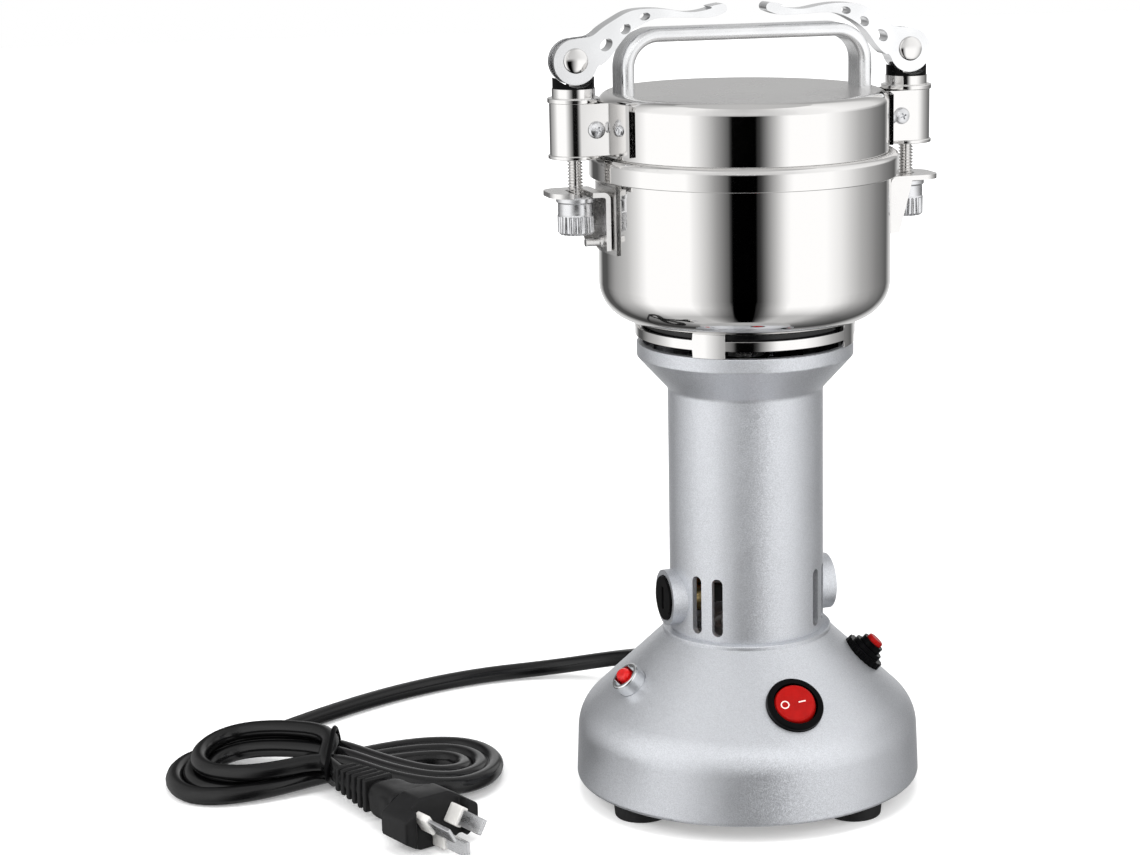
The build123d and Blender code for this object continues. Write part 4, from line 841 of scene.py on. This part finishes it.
class MILL_OT_strap_screws(bpy.types.Operator):
    """Models the cross-head screws, nuts and rivets that hold the clamp straps"""
    bl_idname = "mill.strap_screws"
    bl_label = "Strap screws and rivets"

    def execute(self, context):
        head = turned("screw_pattern", rounded((
            (0.02, 1.9), (1.6, 1.78), (2.7, 1.35), (3.3, 0.5, 0.2), (3.35, 0.03), (1.6, 0.03),
            (1.6, -18.9)), 2), 48)
        smooth(head, 40)
        blade = box("cross_blade", (3.5, 0.75, 2.2), shift(0, 0, 1.75))
        for vertex in blade.data.vertices:
            if vertex.co.z < 1.5 * MM:
                vertex.co.x *= 0.55
                vertex.co.y *= 0.75
        other = copied(blade, "cross_blade_2", Matrix.Rotation(pi / 2, 4, "Z"))
        for cutter in (blade, other):
            modified(head, "BOOLEAN", object=cutter, operation="DIFFERENCE", solver="EXACT")
            bpy.data.objects.remove(cutter)
        smooth(head, 30)
        rivet = turned("rivet_pattern", rounded((
            (0.02, 0.65), (0.9, 0.65, 0.3), (1.15, 1.1, 0.2), (1.7, 1.05, 0.4), (2.2, 0.3, 0.2),
            (2.2, 0.0), (1.1, 0.0), (1.1, -2.6)), 3), 40)
        smooth(rivet, 40)
        clear_selection()
        bpy.ops.mesh.primitive_cylinder_add(
            vertices=6, radius=3.3 * MM, depth=2.2 * MM, location=(0, 0, 1.1 * MM))
        nut = smooth(beveled(named("hex_pattern"), 0.3 * MM), 30)
        parts = []
        for _, side in SIDES:
            turn = Matrix.Rotation(radians(24 * side), 4, "Z")
            front = axes((side * STRAP_SCREW_X, -9.45, STRAP_MIDDLE), (1, 0, 0), (0, -1, 0))
            back = axes((side * STRAP_SCREW_X, 9.5, STRAP_MIDDLE), (1, 0, 0), (0, 1, 0))
            parts += [copied(head, "screw", front @ turn), copied(nut, "nut", back)]
            for angle in (90 * side - 16.5, 90 * side + 16.5):
                tangent = (cos(radians(angle)), sin(radians(angle)), 0)
                spot = axes(around(58.45, angle, STRAP_MIDDLE), tangent, around(1, angle))
                parts.append(copied(rivet, "rivet", spot))
        for pattern in (head, rivet, nut):
            bpy.data.objects.remove(pattern)
        stands_for(joined("strap_screws", parts), "zinc_plate", "strap_fasteners")
        return {"FINISHED"}


class MILL_OT_eased_parts(bpy.types.Operator):
    """Rounds the cut edges of the sheet, cast and moulded parts"""
    bl_idname = "mill.eased_parts"
    bl_label = "Eased parts"

    def execute(self, context):
        edge = context.scene.mill_sizes.edge_round / MM
        eased("lever_left", "polished_aluminium", 0.55, 3, 40)
        eased("lever_right", "polished_aluminium", 0.55, 3, 40)
        eased("clamp_straps", "polished_strap", edge)
        eased("hook_brackets", "satin_steel", edge * 1.3)
        eased("saddle_cups", "black_plastic", edge)
        eased("rubber_feet", "foot_rubber", 0.9, 3, 45)
        eased("brush_caps", "black_plastic", 0.35)
        eased("vent_ring", "polished_strap", 0.25)
        eased("reset_nut", "black_plastic", 0.3, 2, 50)
        eased("motor_housing", "silver_paint", 0.35)
        return {"FINISHED"}


class MILL_OT_lever_pins(bpy.types.Operator):
    """Models the two lever pins with their domed, polished heads"""
    bl_idname = "mill.lever_pins"
    bl_label = "Lever pins"

    def execute(self, context):
        foot, radius, rim, rise, steps = LEVER_HALF + 0.05, 4.8, 0.35, 1.35, 8
        head = [(2.5, foot), (radius, foot)]
        for step in range(steps + 1):
            slant = pi / 2 * step / steps
            head.append((max(0.02, radius * cos(slant)), foot + rim + rise * sin(slant)))
        outline = [(radius, -height) for radius, height in reversed(head)] + head
        pin = smooth(turned("pin_pattern", outline, 64), 50)
        for name, side in SIDES:
            place = axes((side * CLAMP_X, 0, PIN_Z), (1, 0, 0), (0, -1, 0))
            stands_for(copied(pin, f"pin_{name}", place), "mirror_steel", f"lever_pin_{name}")
        bpy.data.objects.remove(pin)
        return {"FINISHED"}


# ================================================================ panel devices
class MILL_OT_rocker(bpy.types.Operator):
    """Models the rocker of the switch with its two marks"""
    bl_idname = "mill.rocker"
    bl_label = "Rocker and marks"

    def execute(self, context):
        tilt = Matrix.Rotation(radians(-10.0), 4, "Y")
        place = cone_axes(0, SWITCH_Z, -1.0) @ tilt
        outline = rounded((
            (0.02, 3.62), (3.5, 3.66), (6.4, 3.84), (7.35, 4.0, 0.5), (7.95, 3.3, 0.4), (8.45, 1.4, 1.5),
            (8.6, 0.0, 2.0), (8.3, -2.2, 2.0), (7.6, -4.0), (0.02, -4.0)), 5)
        rocker = smooth(turned("rocker_cap", outline, 96), 30)
        stands_for(placed(rocker, place), "red_plastic", "rocker")
        outline = [(1.25, 3.6), (1.25, 3.8), (1.72, 3.8), (1.72, 3.6)]
        ring = turned("mark_off", outline, 48, closed=True)
        placed(ring, place @ shift(-3.9, 0, 0))
        fitted(smooth(ring, 30), "mark_white", "rocker")
        dash = beveled(box("mark_on", (2.9, 0.52, 0.3)), 0.08 * MM, 2)
        placed(dash, place @ shift(3.0, 0, 3.72))
        fitted(smooth(dash, 30), "mark_white", "rocker")
        return {"FINISHED"}


# ================================================================ stage
class MILL_OT_stage(bpy.types.Operator):
    """Sets a pale floor, soft lights, and light and dark cards that the metal mirrors"""
    bl_idname = "mill.stage"
    bl_label = "Stage"

    def execute(self, context):
        clear_selection()
        bpy.ops.mesh.primitive_plane_add(size=8)
        floor = named("floor")
        pale = surface("pale_floor", (0.86, 0.86, 0.86), 0.0, 0.9, Emission_Color=(1, 1, 1, 1))
        # Away from the mill the floor glows like the background, so that no horizon shows.
        away = vector(pale, "LENGTH", places(pale))["Value"]
        seen = node(pale, "LightPath").outputs["Is Camera Ray"]
        glow = math(pale, "MULTIPLY", seen, spread(pale, away, 0.22, 1.0, 0.35, 0.9))
        feed(pale, "Emission Strength", glow)
        floor.data.materials.append(pale)
        floor.visible_glossy = False

        clear_selection()
        bpy.ops.mesh.primitive_cylinder_add(vertices=128, radius=TENT_RADIUS, depth=2 * TENT_HEIGHT,
                                            end_fill_type="NOTHING")
        tent = named("reflection_tent")
        self.light_only(tent, self.tent_material())
        clear_selection()
        bpy.ops.mesh.primitive_circle_add(vertices=64, radius=TENT_RADIUS, fill_type="NGON",
                                          location=(0, 0, TENT_HEIGHT))
        ceiling = named("reflection_ceiling")
        self.light_only(ceiling, self.glow("ceiling_glow", 0.62))

        world = bpy.data.worlds.new("studio")
        context.scene.world = world
        world.use_nodes = True
        background = world.node_tree.nodes["Background"]
        background.inputs["Color"].default_value = (1, 1, 1, 1)
        rays = node(world, "LightPath").outputs
        seen = math(world, "MAXIMUM", rays["Is Camera Ray"], rays["Is Transmission Ray"])
        world.node_tree.links.new(spread(world, seen, 0.50, 1.0), background.inputs["Strength"])

        for name, azimuth, elevation, distance, size, power in (
                ("key_light", -75, 38, 1.5, 0.9, 11.0), ("fill_light", 38, 30, 1.5, 0.9, 9.0),
                ("top_light", -20, 80, 1.6, 1.0, 12.0), ("back_light", 160, 40, 1.6, 0.9, 6.0),
                ("sheen_light", VIEW_ANGLE, 21, 1.2, 0.5, 4.6)):
            direction = around(cos(radians(elevation)), azimuth, sin(radians(elevation)))
            clear_selection()
            bpy.ops.object.light_add(type="AREA")
            lamp = context.object
            lamp.name = name
            lamp.data.shape = "DISK"
            lamp.data.size = size
            lamp.data.energy = power
            lamp.location = Vector((0, 0, 0.16)) + direction * distance
            lamp.rotation_euler = direction.to_track_quat("Z", "Y").to_euler()
            # The cards stand between this lamp and the mirrors, so only rough surfaces show it.
            lamp.visible_glossy = name == "sheen_light"
        context.scene.view_settings.view_transform = "Standard"
        return {"FINISHED"}

    def glow(self, name, strength):
        """Plain emission."""
        return surface(name, (0, 0, 0), 0.0, 0.5, Specular_IOR_Level=0, Emission_Color=(1, 1, 1, 1),
                       Emission_Strength=strength)

    def light_only(self, card, material):
        """A card that only mirror rays see."""
        card.data.materials.append(material)
        card.visible_camera = card.visible_diffuse = card.visible_shadow = False
        card.visible_transmission = card.visible_volume_scatter = False

    def tent_material(self):
        """Light and dark bands round the mill, by the angle from the camera's side: upright ones that
        the walls mirror, softer ones above for the slopes and round edges, and a dim foot."""
        material = self.glow("tent_bands", 1.0)
        where = node(material, "TexCoord").outputs["Object"]
        place = node(material, "SeparateXYZ", Vector=where).outputs
        angle = math(material, "ARCTAN2", place["X"], math(material, "MULTIPLY", place["Y"], -1.0))
        share = math(material, "MULTIPLY_ADD", angle, 1 / (2 * pi), 0.5 - VIEW_ANGLE / 360)
        share = math(material, "FRACT", share)
        walls = self.bands(material, share, (
            (-180, 0.10), (-172, 0.75), (-155, 0.80), (-142, 0.10), (-131, 0.10), (-116, 0.41),
            (-98.8, 0.62), (-87, 0.92), (-77, 1.25), (-40, 1.25), (-38.4, 1.14), (-27, 0.70),
            (-20, 0.40), (-12.5, 0.17), (-10.2, 0.11), (-9.6, 0.0), (8.9, 0.0), (9.6, 0.03),
            (11.8, 0.05), (15.4, 0.214), (22.7, 0.62), (30, 1.09), (34, 1.25), (62, 1.25),
            (76, 1.02), (86, 0.76), (97.6, 0.52), (119, 0.27), (140, 0.12), (155, 0.80),
            (172, 0.75), (180, 0.10)))
        slopes = self.bands(material, share, (
            (-180, 0.62), (-150, 0.45), (-134, 0.28), (-120, 0.34), (-95, 0.66), (-75, 1.05),
            (-45, 1.1), (-20, 0.78), (0, 0.66), (20, 0.76), (45, 1.05), (75, 1.15), (100, 1.0),
            (121, 0.9), (136, 0.55), (150, 0.45), (180, 0.62)))
        light = mixed(material, spread(material, place["Z"], 0, 1, 0.255, 0.33), walls, slopes)
        foot = spread(material, place["Z"], 0.5, 1.0, -0.30, 0.02)
        feed(material, "Emission Strength", math(material, "MULTIPLY", light, foot))
        return material

    def bands(self, material, share, stops):
        """Brightness round the tent from (angle, brightness) stops."""
        ramp = node(material, "ValToRGB", Fac=share)
        marks = ramp.color_ramp.elements
        while len(marks) < len(stops):
            marks.new(0.5)
        for mark, (angle, value) in zip(marks, stops):
            mark.position = (angle + 180) / 360
            mark.color = (value, value, value, 1)
        return ramp.outputs[0]


# ================================================================ panel
STEPS = (
    "finishes", "camera", "cord_fittings", "cord", "eased_parts", "bolt_threads", "lever_pins",
    "thumb_nuts", "strap_screws", "rocker", "stage")


class MILL_PT_panel(bpy.types.Panel):
    """Lists the mill's sizes, colours and pieces"""
    bl_idname = "MILL_PT_panel"
    bl_label = "Grain mill"
    bl_space_type = "VIEW_3D"
    bl_region_type = "UI"
    bl_category = "Mill"

    def draw(self, context):
        for group in (context.scene.mill_sizes, context.scene.mill_colours):
            column = self.layout.column()
            for setting in group.bl_rna.properties.keys():
                if setting not in ("rna_type", "name"):
                    column.prop(group, setting)
        for step in STEPS:
            self.layout.operator("mill." + step)


CLASSES = (
    MillSizes, MillColours, MILL_OT_finishes, MILL_OT_camera, MILL_OT_cord_fittings, MILL_OT_cord,
    MILL_OT_eased_parts, MILL_OT_bolt_threads, MILL_OT_lever_pins, MILL_OT_thumb_nuts,
    MILL_OT_strap_screws, MILL_OT_rocker, MILL_OT_stage, MILL_PT_panel)


def register():
    for made in CLASSES:
        bpy.utils.register_class(made)
    bpy.types.Scene.mill_sizes = PointerProperty(type=MillSizes)
    bpy.types.Scene.mill_colours = PointerProperty(type=MillColours)


def unregister():
    del bpy.types.Scene.mill_colours
    del bpy.types.Scene.mill_sizes
    for made in reversed(CLASSES):
        bpy.utils.unregister_class(made)


def main():
    register()
    for step in STEPS:
        getattr(bpy.ops.mill, step)()


if __name__ == "__main__":
    main()
